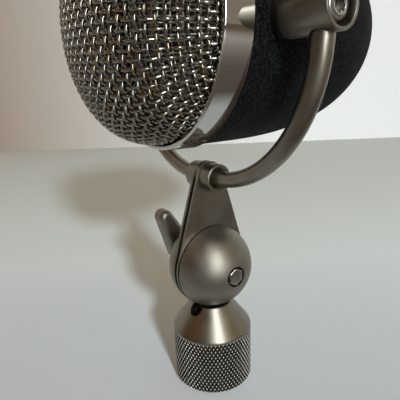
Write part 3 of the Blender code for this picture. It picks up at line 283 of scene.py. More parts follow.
class StageSettings(PropertyGroup):
    """Camera, floor, wall and light."""
    camera_place: point("Camera place", "Place of the camera", (0.102449, -0.075079, 0.103237))
    camera_right: point(
        "Camera right", "Direction of the picture's right", (0.58088448, 0.81319699, -0.03583117)
    )
    camera_up: point("Camera up", "Direction of the picture's top", (-0.19940617, 0.1848423, 0.96232557))
    lens: share("Lens", "Focal length in millimetres on a 36 mm sensor", 34.8)
    floor: tone("Floor", "Pale paper of the floor", (0.82, 0.94, 0.99))
    # The floor's paper is painted greyer at the front of the picture and dark to the right and to the front
    # outside it: painted shade, which the metal mirrors.
    floor_near: tone("Floor near", "Paper of the floor at the front of the picture", (0.60, 0.67, 0.72))
    floor_painted_shade: tone("Floor dim", "Floor to the right and front, outside the picture", (0.15, 0.135, 0.12))
    floor_painted_shade_far: tone("Floor far", "The same floor further off", (0.44, 0.43, 0.41))
    wall: tone("Wall", "Pale wall", (0.80, 0.82, 0.82))
    wall_shade: tone("Wall shade", "Shaded part of the wall at the left", (0.34, 0.275, 0.22))
    wall_left: tone("Wall left", "Wall far to the left", (0.74, 0.72, 0.67))
    floor_glow: tone("Floor glow", "Added brightness of the floor", (0.10, 0.07, 0.045))
    wall_glow: tone("Wall glow", "Added brightness of the wall", (0.42, 0.42, 0.41))
    floor_drop: size("Floor drop", "How far the floor lies under the adaptor's foot", 0.2)
    wall_distance: size("Wall distance", "From the stand's axis back to the wall", 660.0)
    wall_height: size("Wall height", "Height of the wall", 3000.0)
    reach: size("Reach", "How far floor and wall reach to the sides and to the front", 4000.0)
    aim_height: size("Aim height", "Height on the stand's axis that the lamps face", 90.0)
    room_dark: tone("Room dark", "Dim side of the room", (0.066, 0.050, 0.036))
    room_warm: tone("Room warm", "Brown of the room up at the left", (0.30, 0.15, 0.06))
    room_tan: tone("Room tan", "Side of the room at the right", (0.29, 0.245, 0.20))
    room_sand: tone("Room sand", "Sunlit side of the room, up at the right", (0.50, 0.40, 0.25))
    room_white: tone("Room white", "White wall of the room at the right, behind", (0.72, 0.73, 0.72))
    key_light: tone("Key light", "Colour of the two lamps at the right", (0.90, 0.97, 1.0))
    key_power: share("Key power", "Power of each lamp at the right, in watts", 9.8)
    fill_light: tone("Fill light", "Colour of the small warm lamp at the left", (1.0, 0.58, 0.28))
    fill_power: share("Fill power", "Power of the small warm lamp at the left, in watts", 0.04)


class MicrophoneSettings(PropertyGroup):
    """All sizes, colours and stage settings of the microphone."""
    adaptor: PointerProperty(type=AdaptorSizes, name="Adaptor", description="Stand adaptor")
    swivel: PointerProperty(type=SwivelSizes, name="Swivel", description="Ball, plates, bolt and lever")
    yoke: PointerProperty(type=YokeSizes, name="Yoke", description="Bow, collars, bosses and pivots")
    body: PointerProperty(type=BodySizes, name="Body", description="Body, ring and socket")
    grille: PointerProperty(type=GrilleSizes, name="Grille", description="Woven dome and gauze")
    finishes: PointerProperty(type=Finishes, name="Finishes", description="Colours")
    stage: PointerProperty(type=StageSettings, name="Stage", description="Camera, floor and light")


# Outlines and profiles

def arc(centre, radius, start, end, steps):
    """Points on an arc, both ends included."""
    turns = [start + (end - start) * step / steps for step in range(steps + 1)]
    return [(centre[0] + radius * math.cos(turn), centre[1] + radius * math.sin(turn)) for turn in turns]


def teardrop(big, small, distance, steps=96):
    """Two circles and their common tangents, the small circle further along the first axis."""
    lean = math.acos((big - small) / distance)
    wide = arc((0, 0), big, lean, math.tau - lean, steps)
    return wide + arc((distance, 0), small, -lean, lean, steps // 2)


def hexagon(flats):
    """Corners of a hexagon of a width across its flats."""
    return arc((0, 0), flats / math.sqrt(3), 0.0, math.tau * 5 / 6, 5)


def eased(corners, closed, steps):
    """A profile with rounded corners: each corner is a radius, a height and its rounding."""
    points = []
    total = len(corners)
    for index, (radius, height, rounding) in enumerate(corners):
        corner = Vector((radius, height))
        if not rounding or not closed and index in (0, total - 1):
            points.append(corner)
            continue
        to_last = (Vector(corners[index - 1][:2]) - corner).normalized()
        to_next = (Vector(corners[(index + 1) % total][:2]) - corner).normalized()
        half = to_last.angle(to_next) / 2
        centre = corner + (to_last + to_next).normalized() * rounding / math.sin(half)
        first = corner + to_last * rounding / math.tan(half) - centre
        last = corner + to_next * rounding / math.tan(half) - centre
        start = math.atan2(first.y, first.x)
        points += map(Vector, arc(centre, rounding, start, start - first.angle_signed(last), steps))
    return points


def rounded_end(radius, length, along_power, across_power, smallest, steps):
    """Radius and distance along a rounded end, from its full radius to its smallest one."""
    reach = (1 - (smallest / radius) ** across_power) ** (1 / along_power)
    points = []
    for step in range(steps + 1):
        along = reach * math.sin(QUARTER * step / steps)
        points.append((radius * (1 - along ** along_power) ** (1 / across_power), length * along))
    return points


# Directions of a turned piece's axis

def sideways(sign, place=(0, 0, 0)):
    """Axis to the right, or to the left."""
    return Matrix.Translation(place) @ Matrix.Rotation(sign * QUARTER, 4, "Y")


def forward(place):
    """Axis to the front, with the plane's second axis up."""
    return Matrix.Translation(place) @ Matrix.Rotation(QUARTER, 4, "X")


# Mesh objects

def new_object(name, data):
    """An object in the scene."""
    obj = bpy.data.objects.new(name, data)
    bpy.context.scene.collection.objects.link(obj)
    return obj


def plain_object(name, build):
    """An object from a bmesh."""
    mesh = bpy.data.meshes.new(name)
    build.to_mesh(mesh)
    build.free()
    return new_object(name, mesh)


def made(name, build, matrix):
    """An object from a bmesh, welded, facing outwards and put in its place."""
    bmesh.ops.remove_doubles(build, verts=build.verts, dist=WELD)
    bmesh.ops.recalc_face_normals(build, faces=build.faces)
    bmesh.ops.transform(build, matrix=matrix, verts=build.verts)
    return plain_object(name, build)


def turned(name, profile, matrix, closed=False, steps=96):
    """A turned piece from a profile of radius and height."""
    build = bmesh.new()
    turns = [math.tau * step / steps for step in range(steps)]
    rings = []
    for radius, height in profile:
        around = turns[:1] if radius < WELD else turns
        rings.append([
            build.verts.new((radius * math.cos(turn), radius * math.sin(turn), height)) for turn in around
        ])
    others = rings[1:] + rings[:1] if closed else rings[1:]
    for one, other in zip(rings, others):
        for step in range(steps):
            after = (step + 1) % steps
            corners = [one[step % len(one)], one[after % len(one)]]
            corners += [other[after % len(other)], other[step % len(other)]]
            corners = list(dict.fromkeys(corners))
            if len(corners) > 2:
                build.faces.new(corners)
    return made(name, build, matrix)


def lathed(name, corners, matrix, closed=False, steps=96, ease=5):
    """A turned piece from corners of radius, height and rounding."""
    return turned(name, eased(corners, closed, ease), matrix, closed, steps)


def plate(name, outline, thickness, matrix):
    """A flat piece about its own plane."""
    build = bmesh.new()
    face = build.faces.new([build.verts.new((x, y, -thickness / 2)) for x, y in outline])
    grown = bmesh.ops.extrude_face_region(build, geom=[face])["geom"]
    lifted = [part for part in grown if isinstance(part, bmesh.types.BMVert)]
    bmesh.ops.translate(build, vec=(0, 0, thickness), verts=lifted)
    return made(name, build, matrix)


def bar(name, path, radii, sides):
    """A round bar along a path in the plane of X and Z."""
    build = bmesh.new()
    turns = [math.tau * side / sides for side in range(sides)]
    rings = []
    for index, (x, z) in enumerate(path):
        before = Vector(path[max(index - 1, 0)])
        after = Vector(path[min(index + 1, len(path) - 1)])
        heading = (after - before).normalized()
        ring = []
        for turn in turns:
            out = radii[index] * math.cos(turn)
            spot = (x - heading.y * out, radii[index] * math.sin(turn), z + heading.x * out)
            ring.append(build.verts.new(spot))
        rings.append(ring)
    for one, other in zip(rings, rings[1:]):
        for side in range(sides):
            after = (side + 1) % sides
            build.faces.new((one[side], one[after], other[after], other[side]))
    build.faces.new(rings[0])
    build.faces.new(rings[-1])
    return made(name, build, Matrix())


def settle(obj):
    """Replace an object's modifiers by the plain mesh they make."""
    bpy.context.view_layer.update()
    depsgraph = bpy.context.evaluated_depsgraph_get()
    mesh = bpy.data.meshes.new_from_object(
        obj.evaluated_get(depsgraph), preserve_all_data_layers=True, depsgraph=depsgraph
    )
    obj.modifiers.clear()
    obj.data = mesh
    mesh.name = obj.name
    return obj


def cut(obj, cutter):
    """Cut a shape out of a piece."""
    boolean = obj.modifiers.new("cut", "BOOLEAN")
    boolean.operation = "DIFFERENCE"
    boolean.solver = "EXACT"
    boolean.object = cutter
    settle(obj)
    bpy.data.objects.remove(cutter, do_unlink=True)
    return obj


def drilled(obj, radius, start, end, matrix, steps):
    """Cut a round hole out of a piece, between two places on the hole's axis."""
    peg = [(0.0, start), (radius, start), (radius, end), (0.0, end)]
    return cut(obj, turned("peg", peg, matrix, steps=steps))


def sliced(obj, height):
    """Take away what lies under a height and close the cut."""
    build = bmesh.new()
    build.from_mesh(obj.data)
    every = build.verts[:] + build.edges[:] + build.faces[:]
    plane = {"plane_co": (0, 0, height), "plane_no": (0, 0, -1)}
    parts = bmesh.ops.bisect_plane(build, geom=every, clear_outer=True, **plane)["geom_cut"]
    edges = [part for part in parts if isinstance(part, bmesh.types.BMEdge)]
    bmesh.ops.holes_fill(build, edges=edges, sides=0)
    build.to_mesh(obj.data)
    build.free()
    return obj


def joined(name, *objects):
    """One object from several, each still a closed shell."""
    build = bmesh.new()
    for obj in objects:
        build.from_mesh(obj.data)
        bpy.data.objects.remove(obj, do_unlink=True)
    return plain_object(name, build)


def bevelled(obj, width, segments=3):
    """Round the sharp edges of a piece."""
    bevel = obj.modifiers.new("edges", "BEVEL")
    bevel.width = width
    bevel.segments = segments
    bevel.limit_method = "ANGLE"
    bevel.angle_limit = BEVEL_FROM
    bevel.harden_normals = False
    return settle(obj)


def shaded(obj, sharp=38):
    """Smooth a piece's faces and keep its flats flat."""
    obj.data.shade_smooth()
    obj.data.set_sharp_from_angle(angle=math.radians(sharp))
    normals = obj.modifiers.new("normals", "WEIGHTED_NORMAL")
    normals.keep_sharp = True
    normals.weight = FLAT_WEIGHT
    return settle(obj)


def dressed(obj, body, slot, *nodes, look=None):
    """Give a finished piece its finish and its body, and hide the CAD nodes that it stands for."""
    obj.data.materials.clear()
    obj.data.materials.append(finish(look or slot))
    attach(obj, body)
    if nodes:
        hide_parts(*nodes)
    return obj


# Nodes of finishes and of the stage

def add_node(tree, kind, inputs=None, **settings):
    """A node with its settings and its inputs, which are values or other nodes' outputs."""
    node = tree.nodes.new(kind)
    for name, value in settings.items():
        setattr(node, name, value)
    for key, value in (inputs or {}).items():
        if isinstance(value, bpy.types.NodeSocket):
            tree.links.new(value, node.inputs[key])
        else:
            node.inputs[key].default_value = value
    return node


def own_place(tree):
    """A place in the piece's own coordinates."""
    return add_node(tree, "ShaderNodeTexCoord").outputs["Object"]


def drift(tree, scale, detail=4.0, roughness=0.55):
    """Noise in the piece's own coordinates."""
    inputs = {"Vector": own_place(tree), "Scale": scale, "Detail": detail, "Roughness": roughness}
    return add_node(tree, "ShaderNodeTexNoise", inputs).outputs["Fac"]


def ranged(tree, value, start, end, lowest=0.0, highest=1.0):
    """A number that runs from one limit to the other while a value runs from start to end."""
    inputs = {"Value": value, "From Min": start, "From Max": end, "To Min": lowest, "To Max": highest}
    return add_node(tree, "ShaderNodeMapRange", inputs).outputs["Result"]


def shades(tree, value, *stops):
    """A colour that runs through some tones, each given with its place from 0 to 1."""
    node = add_node(tree, "ShaderNodeValToRGB", {"Fac": value})
    elements = node.color_ramp.elements
    while len(elements) < len(stops):
        elements.new(1.0)
    for element, (position, colour) in zip(elements, stops):
        element.position = position
        element.color = (*colour, 1.0)
    return node.outputs["Color"]


def blend(tree, amount, first, second, **settings):
    """One colour turning into another."""
    inputs = {0: amount, 6: first, 7: second}
    return add_node(tree, "ShaderNodeMix", inputs, data_type="RGBA", **settings).outputs[2]


def dot(tree, vector, heading):
    """How far a vector reaches along a direction."""
    inputs = {0: vector, 1: heading}
    return add_node(tree, "ShaderNodeVectorMath", inputs, operation="DOT_PRODUCT").outputs["Value"]


def reach_of(tree, vector):
    """Length of a vector."""
    return add_node(tree, "ShaderNodeVectorMath", {0: vector}, operation="LENGTH").outputs["Value"]


def larger(tree, first, second):
    """The larger of two numbers."""
    return add_node(tree, "ShaderNodeMath", {0: first, 1: second}, operation="MAXIMUM").outputs[0]


# Finishes

def painted_groove_shade(tree, colour):
    """Painted shade over a colour in the knurl's grooves and up their flanks, by the distance from the
    adaptor's axis.
    """
    s = bpy.context.scene.microphone.adaptor
    shade_colour = (*bpy.context.scene.microphone.finishes.groove_shade_tone, 1.0)
    root = s.grip_radius - s.knurl_depth
    flat = add_node(tree, "ShaderNodeVectorMath", {0: own_place(tree), 1: (1, 1, 0)}, operation="MULTIPLY")
    radius = reach_of(tree, flat.outputs[0])
    unshaded = ranged(tree, radius, root + s.shade_top * s.knurl_depth, root + s.highlight_foot * s.knurl_depth)
    return blend(tree, unshaded, shade_colour, colour)


def tarnished(tree, colour):
    """Warm tarnish over a colour, in patches."""
    tarnish = (*bpy.context.scene.microphone.finishes.wire_tarnish, 1.0)
    patches = ranged(tree, drift(tree, scale=330.0, detail=2.0), start=0.5, end=0.68)
    return blend(tree, patches, colour, tarnish)


class Look(NamedTuple):
    """A colour and a roughness that drift over a piece, and a fine grain in its surface."""
    colour: str               # setting of its colour
    rough: tuple              # limits of its roughness
    dark: float = 0.78        # darkest drift, as a share of the colour
    shade: str = ""           # setting of the darkest drift, where it has its own colour
    metallic: float = 1.0
    mottle: float = 220.0     # scale of the drift
    grain: float = 3000.0     # scale of the grain
    height: float = 0.004     # height of the grain in millimetres
    over: object = None       # what lies over the colour


NICKEL = {"shade": "nickel_shade", "mottle": 140.0, "grain": 7000.0}
LOOKS = {
    "satin_nickel": Look("nickel", (0.32, 0.38), height=0.003, **NICKEL),
    "blasted_nickel": Look("nickel", (0.43, 0.49), **NICKEL),
    # The knurl: a painted highlight colour on its tips and painted shade in its grooves.
    "knurled_nickel": Look(
        "nickel_tip", (0.46, 0.54), dark=1.0, mottle=140.0, grain=7000.0, height=0.002, over=painted_groove_shade
    ),
    "chrome": Look("chrome", (0.03, 0.07), dark=0.93, mottle=90.0, grain=900.0, height=0.0004),
    "bright_wire": Look(
        "wire", (0.10, 0.18), dark=0.8, mottle=600.0, grain=5000.0, height=0.002, over=tarnished
    ),
    "dark_gauze": Look("gauze", (0.3, 0.42), dark=0.6, mottle=260.0, grain=4000.0, height=0.003),
    "polished_steel": Look("polished", (0.14, 0.24)),
    "black_nylon": Look("nylon", (0.42, 0.55), metallic=0.0),
    "black_steel": Look("black_steel", (0.35, 0.5)),
    "plain_steel": Look("steel", (0.34, 0.48)),
    "aluminium": Look("aluminium", (0.32, 0.45)),
    "sintered_magnet": Look("magnet", (0.5, 0.7), mottle=400.0, grain=5000.0, height=0.02),
    "brass": Look("brass", (0.26, 0.4)),
    "foil": Look("foil", (0.2, 0.32)),
    "board": Look("board", (0.36, 0.5), metallic=0.0, mottle=160.0, grain=1200.0, height=0.02),
    "gold_plate": Look("gold", (0.18, 0.28)),
}


def drifting(tree, shader, look):
    """Colour, roughness, grain and height of the grain of a look."""
    tones = bpy.context.scene.microphone.finishes
    light = getattr(tones, look.colour)
    dark = getattr(tones, look.shade) if look.shade else [look.dark * part for part in light]
    slow = drift(tree, look.mottle)
    colour = shades(tree, slow, (TONE_RUN[0], dark), (TONE_RUN[1], light))
    if look.over:
        colour = look.over(tree, colour)
    shader.inputs["Metallic"].default_value = look.metallic
    rough = ranged(tree, slow, *NOISE_RUN, *look.rough)
    return colour, rough, drift(tree, look.grain, detail=3.0), look.height * MM


def coated(tree, shader):
    """Colour, roughness, grain and height of the grain of the matte coat, paler on its high spots."""
    tones = bpy.context.scene.microphone.finishes
    grain = drift(tree, scale=1300.0, detail=3.0, roughness=0.65)
    worn = drift(tree, scale=45.0, detail=3.0)
    hollow, crest = 0.45, 0.75   # limits of the grain between which the coat turns paler
    colour = shades(tree, grain, (hollow, tones.coat), (crest, tones.coat_grain))
    rough = ranged(tree, worn, *NOISE_RUN, lowest=0.66, highest=0.8)
    shader.inputs["IOR"].default_value = 1.16   # a dull coat
    grain_height = 0.3 * MM
    return colour, rough, grain, grain_height


def finish(name):
    """The material of a finish, made when it is first asked for."""
    material = bpy.data.materials.get(name + "_finish")
    if material:
        return material
    material = bpy.data.materials.new(name + "_finish")
    material.use_nodes = True
    tree = material.node_tree
    shader = tree.nodes["Principled BSDF"]
    if name == "black_coat":
        colour, rough, grain, height = coated(tree, shader)
    else:
        colour, rough, grain, height = drifting(tree, shader, LOOKS[name])
    bump = add_node(tree, "ShaderNodeBump", {"Height": grain, "Distance": height, "Strength": 1.0})
    tree.links.new(colour, shader.inputs["Base Color"])
    tree.links.new(rough, shader.inputs["Roughness"])
    tree.links.new(bump.outputs["Normal"], shader.inputs["Normal"])
    return material


# Geometry Nodes

class Rule:
    """A Geometry Nodes tree with named inputs."""

    def __init__(self, name):
        self.tree = bpy.data.node_groups.new(name, "GeometryNodeTree")
        self.entry = self.tree.nodes.new("NodeGroupInput")
        self.keys = {}

    def given(self, name, kind="Float"):
        """A named input."""
        socket = self.tree.interface.new_socket(name, in_out="INPUT", socket_type="NodeSocket" + kind)
        self.keys[name] = socket.identifier
        return next(out for out in self.entry.outputs if out.identifier == socket.identifier)

    def node(self, kind, inputs=None, **settings):
        """First output of a new node."""
        return add_node(self.tree, kind, inputs, **settings).outputs[0]

    def math(self, operation, *values):
        """A sum of numbers."""
        return self.node("ShaderNodeMath", dict(enumerate(values)), operation=operation)

    def times(self, *values):
        """A product of two numbers."""
        return self.math("MULTIPLY", *values)

    def scaled(self, vector, factor):
        """A vector times a number."""
        return self.node("ShaderNodeVectorMath", {"Vector": vector, "Scale": factor}, operation="SCALE")

    def combined(self, x=0.0, y=0.0, z=0.0):
        """A vector from three numbers."""
        return self.node("ShaderNodeCombineXYZ", {0: x, 1: y, 2: z})

    def parts(self, vector):
        """The three numbers of a vector."""
        return add_node(self.tree, "ShaderNodeSeparateXYZ", {0: vector}).outputs

    def placed(self, geometry, *place):
        """Geometry whose points are moved to a place."""
        inputs = {"Geometry": geometry, "Position": self.combined(*place)}
        return self.node("GeometryNodeSetPosition", inputs)

    def swept(self, curve, radius, sides):
        """A closed bar along a curve."""
        section = self.node("GeometryNodeCurvePrimitiveCircle", {"Resolution": sides, "Radius": radius})
        inputs = {"Curve": curve, "Profile Curve": section, "Fill Caps": True}
        return self.node("GeometryNodeCurveToMesh", inputs)

    def closed(self, geometry):
        """End the tree with plain geometry and its material."""
        real = self.node("GeometryNodeRealizeInstances", {"Geometry": geometry})
        inputs = {"Geometry": real, "Material": self.given("Material", "Material")}
        painted = self.node("GeometryNodeSetMaterial", inputs)
        self.tree.interface.new_socket("Geometry", in_out="OUTPUT", socket_type="NodeSocketGeometry")
        add_node(self.tree, "NodeGroupOutput", {0: painted})
        return self

    def grown(self, name, values):
        """A plain mesh object that the tree makes from its inputs' values."""
        obj = new_object(name, bpy.data.meshes.new(name))
        modifier = obj.modifiers.new("rule", "NODES")
        modifier.node_group = self.tree
        for key, value in values.items():
            modifier[self.keys[key]] = value
        return settle(obj)


def knurl_rule():
    """Flat-topped diamonds in staggered rows round the grip."""
    rule = Rule("diamond knurl")
    teeth, rows = (rule.given(name, "Int") for name in ("Teeth", "Rows"))
    root, depth, flat, top, step = map(rule.given, ("Root Radius", "Depth", "Flat", "Top", "Row Step"))
    overlap = 1.01   # the diamonds' feet run a little into each other
    spots = rule.node("GeometryNodeMeshLine", {"Count": rule.times(teeth, rows)})
    index = rule.node("GeometryNodeInputIndex")
    row = rule.math("FLOOR", rule.math("DIVIDE", index, teeth))
    stagger = rule.times(rule.math("MODULO", row, 2.0), 0.5)
    turns = rule.math("DIVIDE", rule.math("ADD", index, stagger), teeth)
    turn = rule.times(turns, math.tau)
    height = rule.math("SUBTRACT", top, rule.times(row, step))
    across = rule.times(root, rule.math("COSINE", turn))
    along = rule.times(root, rule.math("SINE", turn))
    tooth = rule.node("GeometryNodeMeshCone", {
        "Vertices": 4, "Radius Top": flat, "Radius Bottom": 1.0, "Depth": 1.0,
    })
    width = rule.math("DIVIDE", rule.times(root, overlap * math.pi), teeth)
    spread = rule.node("GeometryNodeInstanceOnPoints", {
        "Points": rule.placed(spots, across, along, height),
        "Instance": tooth,
        "Rotation": rule.combined(0.0, QUARTER, turn),
        "Scale": rule.combined(rule.times(step, overlap), width, depth),
    })
    return rule.closed(spread)


def thread_rule():
    """A ridge that winds up the stand bore."""
    rule = Rule("stand thread")
    radius, ridge, turns, rise = map(rule.given, ("Radius", "Ridge", "Turns", "Rise"))
    wound = rule.node("GeometryNodeCurveSpiral", {
        "Resolution": 64, "Rotations": turns, "Start Radius": radius, "End Radius": radius, "Height": rise,
    })
    upright = rule.node("GeometryNodeSetCurveNormal", {"Curve": wound}, mode="Z_UP")
    return rule.closed(rule.swept(upright, ridge, sides=4))


def weave_rule():
    """One set of crimped wires of a flat net, pressed on a dome by their distance from its pole."""
    rule = Rule("pressed weave")
    radius, depth, power, skirt, base, height, pitch, crossing, shift, phase, reach, crimp, wire = map(
        rule.given, (
            "Radius", "Depth", "Power", "Skirt", "Base", "Axis Height", "Pitch", "Crossing", "Shift", "Phase",
            "Reach", "Crimp", "Wire",
        )
    )
    wires, samples, sides = (rule.given(name, "Int") for name in ("Wires", "Samples", "Sides"))
    across, along = (rule.given(name, "Vector") for name in ("Across", "Along"))

    # The dome's meridian, from its pole over its round part to the end of its skirt
    steps = 240
    dome_share = 0.92
    seed = rule.node("GeometryNodeCurvePrimitiveLine", {"End": (1.0, 0.0, 0.0)})
    line = rule.node("GeometryNodeResampleCurve", {"Curve": seed, "Count": steps + 1})
    walk = rule.math("DIVIDE", rule.node("GeometryNodeInputIndex"), float(steps))
    over = rule.math("MINIMUM", rule.math("DIVIDE", walk, dome_share), 1.0)
    lean = rule.times(rule.math("SUBTRACT", 1.0, over), QUARTER)
    inverse = rule.math("DIVIDE", 2.0, power)
    out = rule.math("POWER", rule.math("MAXIMUM", rule.math("COSINE", lean), 0.0), inverse)
    rise = rule.math("POWER", rule.math("MAXIMUM", rule.math("SINE", lean), 0.0), inverse)
    below = rule.math("MAXIMUM", rule.math("SUBTRACT", walk, dome_share), 0.0)
    drop = rule.times(rule.math("DIVIDE", below, 1.0 - dome_share), skirt)
    level = rule.math("SUBTRACT", rule.times(rise, depth), drop)
    meridian = rule.placed(line, rule.times(out, radius), 0.0, level)

    # The flat net, one straight wire beside the other
    half = rule.math("DIVIDE", rule.math("SUBTRACT", wires, 1.0), 2.0)
    first = rule.times(rule.times(half, pitch), -1.0)
    starts = rule.node("GeometryNodeMeshLine", {
        "Count": wires, "Start Location": rule.combined(first), "Offset": rule.combined(pitch),
    })
    straight = rule.node("GeometryNodeCurvePrimitiveLine", {
        "Start": rule.combined(0.0, rule.times(reach, -1.0)), "End": rule.combined(0.0, reach),
    })
    fine = rule.node("GeometryNodeResampleCurve", {"Curve": straight, "Count": samples})
    laid = rule.node("GeometryNodeInstanceOnPoints", {"Points": starts, "Instance": fine})
    net = rule.node("GeometryNodeRealizeInstances", {"Geometry": laid})

    # Each point of the net, crimped and moved to its place on the dome
    flat = rule.parts(rule.node("GeometryNodeInputPosition"))
    number = rule.math("ROUND", rule.math("DIVIDE", flat[0], pitch))
    crossings = rule.math("DIVIDE", rule.math("SUBTRACT", flat[1], phase), crossing)
    wave = rule.math("COSINE", rule.times(rule.math("ADD", crossings, number), math.pi))
    lift = rule.times(wave, crimp)
    beside = rule.scaled(across, rule.math("ADD", flat[0], shift))
    place = rule.node("ShaderNodeVectorMath", {0: beside, 1: rule.scaled(along, flat[1])}, operation="ADD")
    distance = reach_of(rule.tree, place)
    heading = rule.parts(rule.node("ShaderNodeVectorMath", {0: place}, operation="NORMALIZE"))
    inputs = {"Curves": meridian, "Length": distance}
    sample = add_node(rule.tree, "GeometryNodeSampleCurve", inputs, mode="LENGTH", use_all_curves=True)
    spot = rule.parts(sample.outputs["Position"])
    slope = rule.parts(sample.outputs["Tangent"])
    ring = rule.math("SUBTRACT", spot[0], rule.times(lift, slope[2]))
    ahead = rule.math("ADD", rule.math("ADD", spot[2], base), rule.times(lift, slope[0]))
    upward = rule.math("ADD", rule.times(heading[1], ring), height)
    inputs = {"Geometry": net, "Selection": rule.math("GREATER_THAN", distance, reach)}
    trimmed = rule.node("GeometryNodeDeleteGeometry", inputs, domain="POINT")
    pressed = rule.placed(trimmed, rule.times(heading[0], ring), rule.times(ahead, -1.0), upward)
    inputs = {"Geometry": rule.swept(pressed, wire, sides), "Shade Smooth": True}
    return rule.closed(rule.node("GeometryNodeSetShadeSmooth", inputs))


def meridian_length(radius, depth, power, skirt, steps=200):
    """Length of a dome's meridian from its pole to the end of its skirt."""
    points = []
    for step in range(steps + 1):
        lean = QUARTER * step / steps
        across = radius * max(math.cos(lean), 0.0) ** (2 / power)
        points.append(Vector((across, depth * math.sin(lean) ** (2 / power))))
    return skirt + sum((after - before).length for before, after in zip(points, points[1:]))


# Operators, one for each piece or group of like pieces

class MICROPHONE_OT_stand_adaptor(Operator):
    """Turned stand adaptor with its diamond knurl, its stand thread and its grub screw"""
    bl_idname = "microphone.stand_adaptor"
    bl_label = "Stand adaptor"

    def execute(self, context):
        s = context.scene.microphone.adaptor
        root = s.grip_radius - s.knurl_depth
        foot = s.grip_radius - s.foot_chamfer
        thread = s.bore_radius + s.thread_depth
        rim = Vector((s.rim_radius, s.rim_height))
        corner = Vector((s.grip_radius, s.grip_top + s.cone_rounding / 2))
        shoulder_edge = 0.3 * s.edge
        adaptor = lathed("adaptor_turning", [
            (0.0, s.socket_floor, 0.0),
            (s.socket_radius, s.socket_floor, 0.0),
            (s.socket_radius, s.rim_height, s.edge),
            (*rim, s.edge),
            (*corner, s.cone_rounding),
            (s.grip_radius, s.grip_top, shoulder_edge),
            (root, s.grip_top, 0.0),
            (root, root - foot, s.edge),
            (foot, 0.0, s.edge),
            (thread + s.thread_depth, 0.0, 0.0),
            (thread, s.thread_depth, 0.0),
            (thread, s.bore_depth, 0.0),
            (0.0, s.bore_depth, 0.0),
        ], Matrix(), steps=128, ease=8)

        slope = (corner - rim).normalized()
        face = rim + slope * s.grub_drop
        swing = Vector((math.sin(s.grub_turn), -math.cos(s.grub_turn)))
        outward = Vector((*(swing * -slope.y), slope.x))
        place = Matrix.Translation((*(swing * face.x), face.y))
        place = place @ outward.to_track_quat("Z", "Y").to_matrix().to_4x4()
        hole = s.grub_radius + s.grub_gap
        mouth = hole + 2 * s.edge
        sink = [(0.0, -s.grub_depth), (hole, -s.grub_depth), (hole, -s.edge)]
        sink += [(mouth, s.edge), (mouth, 2 * hole), (0.0, 2 * hole)]
        shaded(cut(adaptor, turned("grub_hole", sink, place, steps=48)))
        dressed(adaptor, "stand", "satin_nickel", "stand_adaptor")
        self.grow(s, root, thread)

        screw = lathed("grub_screw", [
            (0.0, -s.grub_depth, 0.0),
            (s.grub_radius, -s.grub_depth, s.edge),
            (s.grub_radius, -s.grub_sink, s.edge),
            (0.0, -s.grub_sink, 0.0),
        ], place, steps=40)
        top = place @ Matrix.Translation((0, 0, -s.grub_sink))
        cut(screw, plate("grub_key", hexagon(s.grub_radius), s.grub_radius, top))
        dressed(shaded(screw), "stand", "black_steel", "adaptor_grub_screw")
        return {"FINISHED"}

    def grow(self, s, root, thread):
        """The knurl, whose feet lie a little under the turning, and the stand thread."""
        sunk = 0.1 * s.knurl_depth
        last_row = s.knurl_rows - 1
        cut_under = 0.25   # how far under the last row's middle the knurl ends, in row steps
        knurl = knurl_rule().grown("adaptor_knurl", {
            "Teeth": s.knurl_teeth,
            "Rows": s.knurl_rows,
            "Root Radius": root - sunk,
            "Depth": s.knurl_depth + sunk,
            "Flat": s.knurl_flat,
            "Top": s.grip_top,
            "Row Step": (s.grip_top - s.knurl_foot) / (last_row + cut_under),
            "Material": finish("knurled_nickel"),
        })
        dressed(sliced(knurl, s.knurl_foot), "stand", "satin_nickel", look="knurled_nickel")
        turns = s.bore_depth / s.thread_pitch - 1
        ridge = thread_rule().grown("adaptor_thread", {
            "Radius": thread,
            "Ridge": s.thread_depth,
            "Turns": turns,
            "Rise": turns * s.thread_pitch,
            "Material": finish("satin_nickel"),
        })
        ridge.data.transform(Matrix.Translation((0, 0, s.thread_pitch / 2)))
        dressed(ridge, "stand", "satin_nickel")


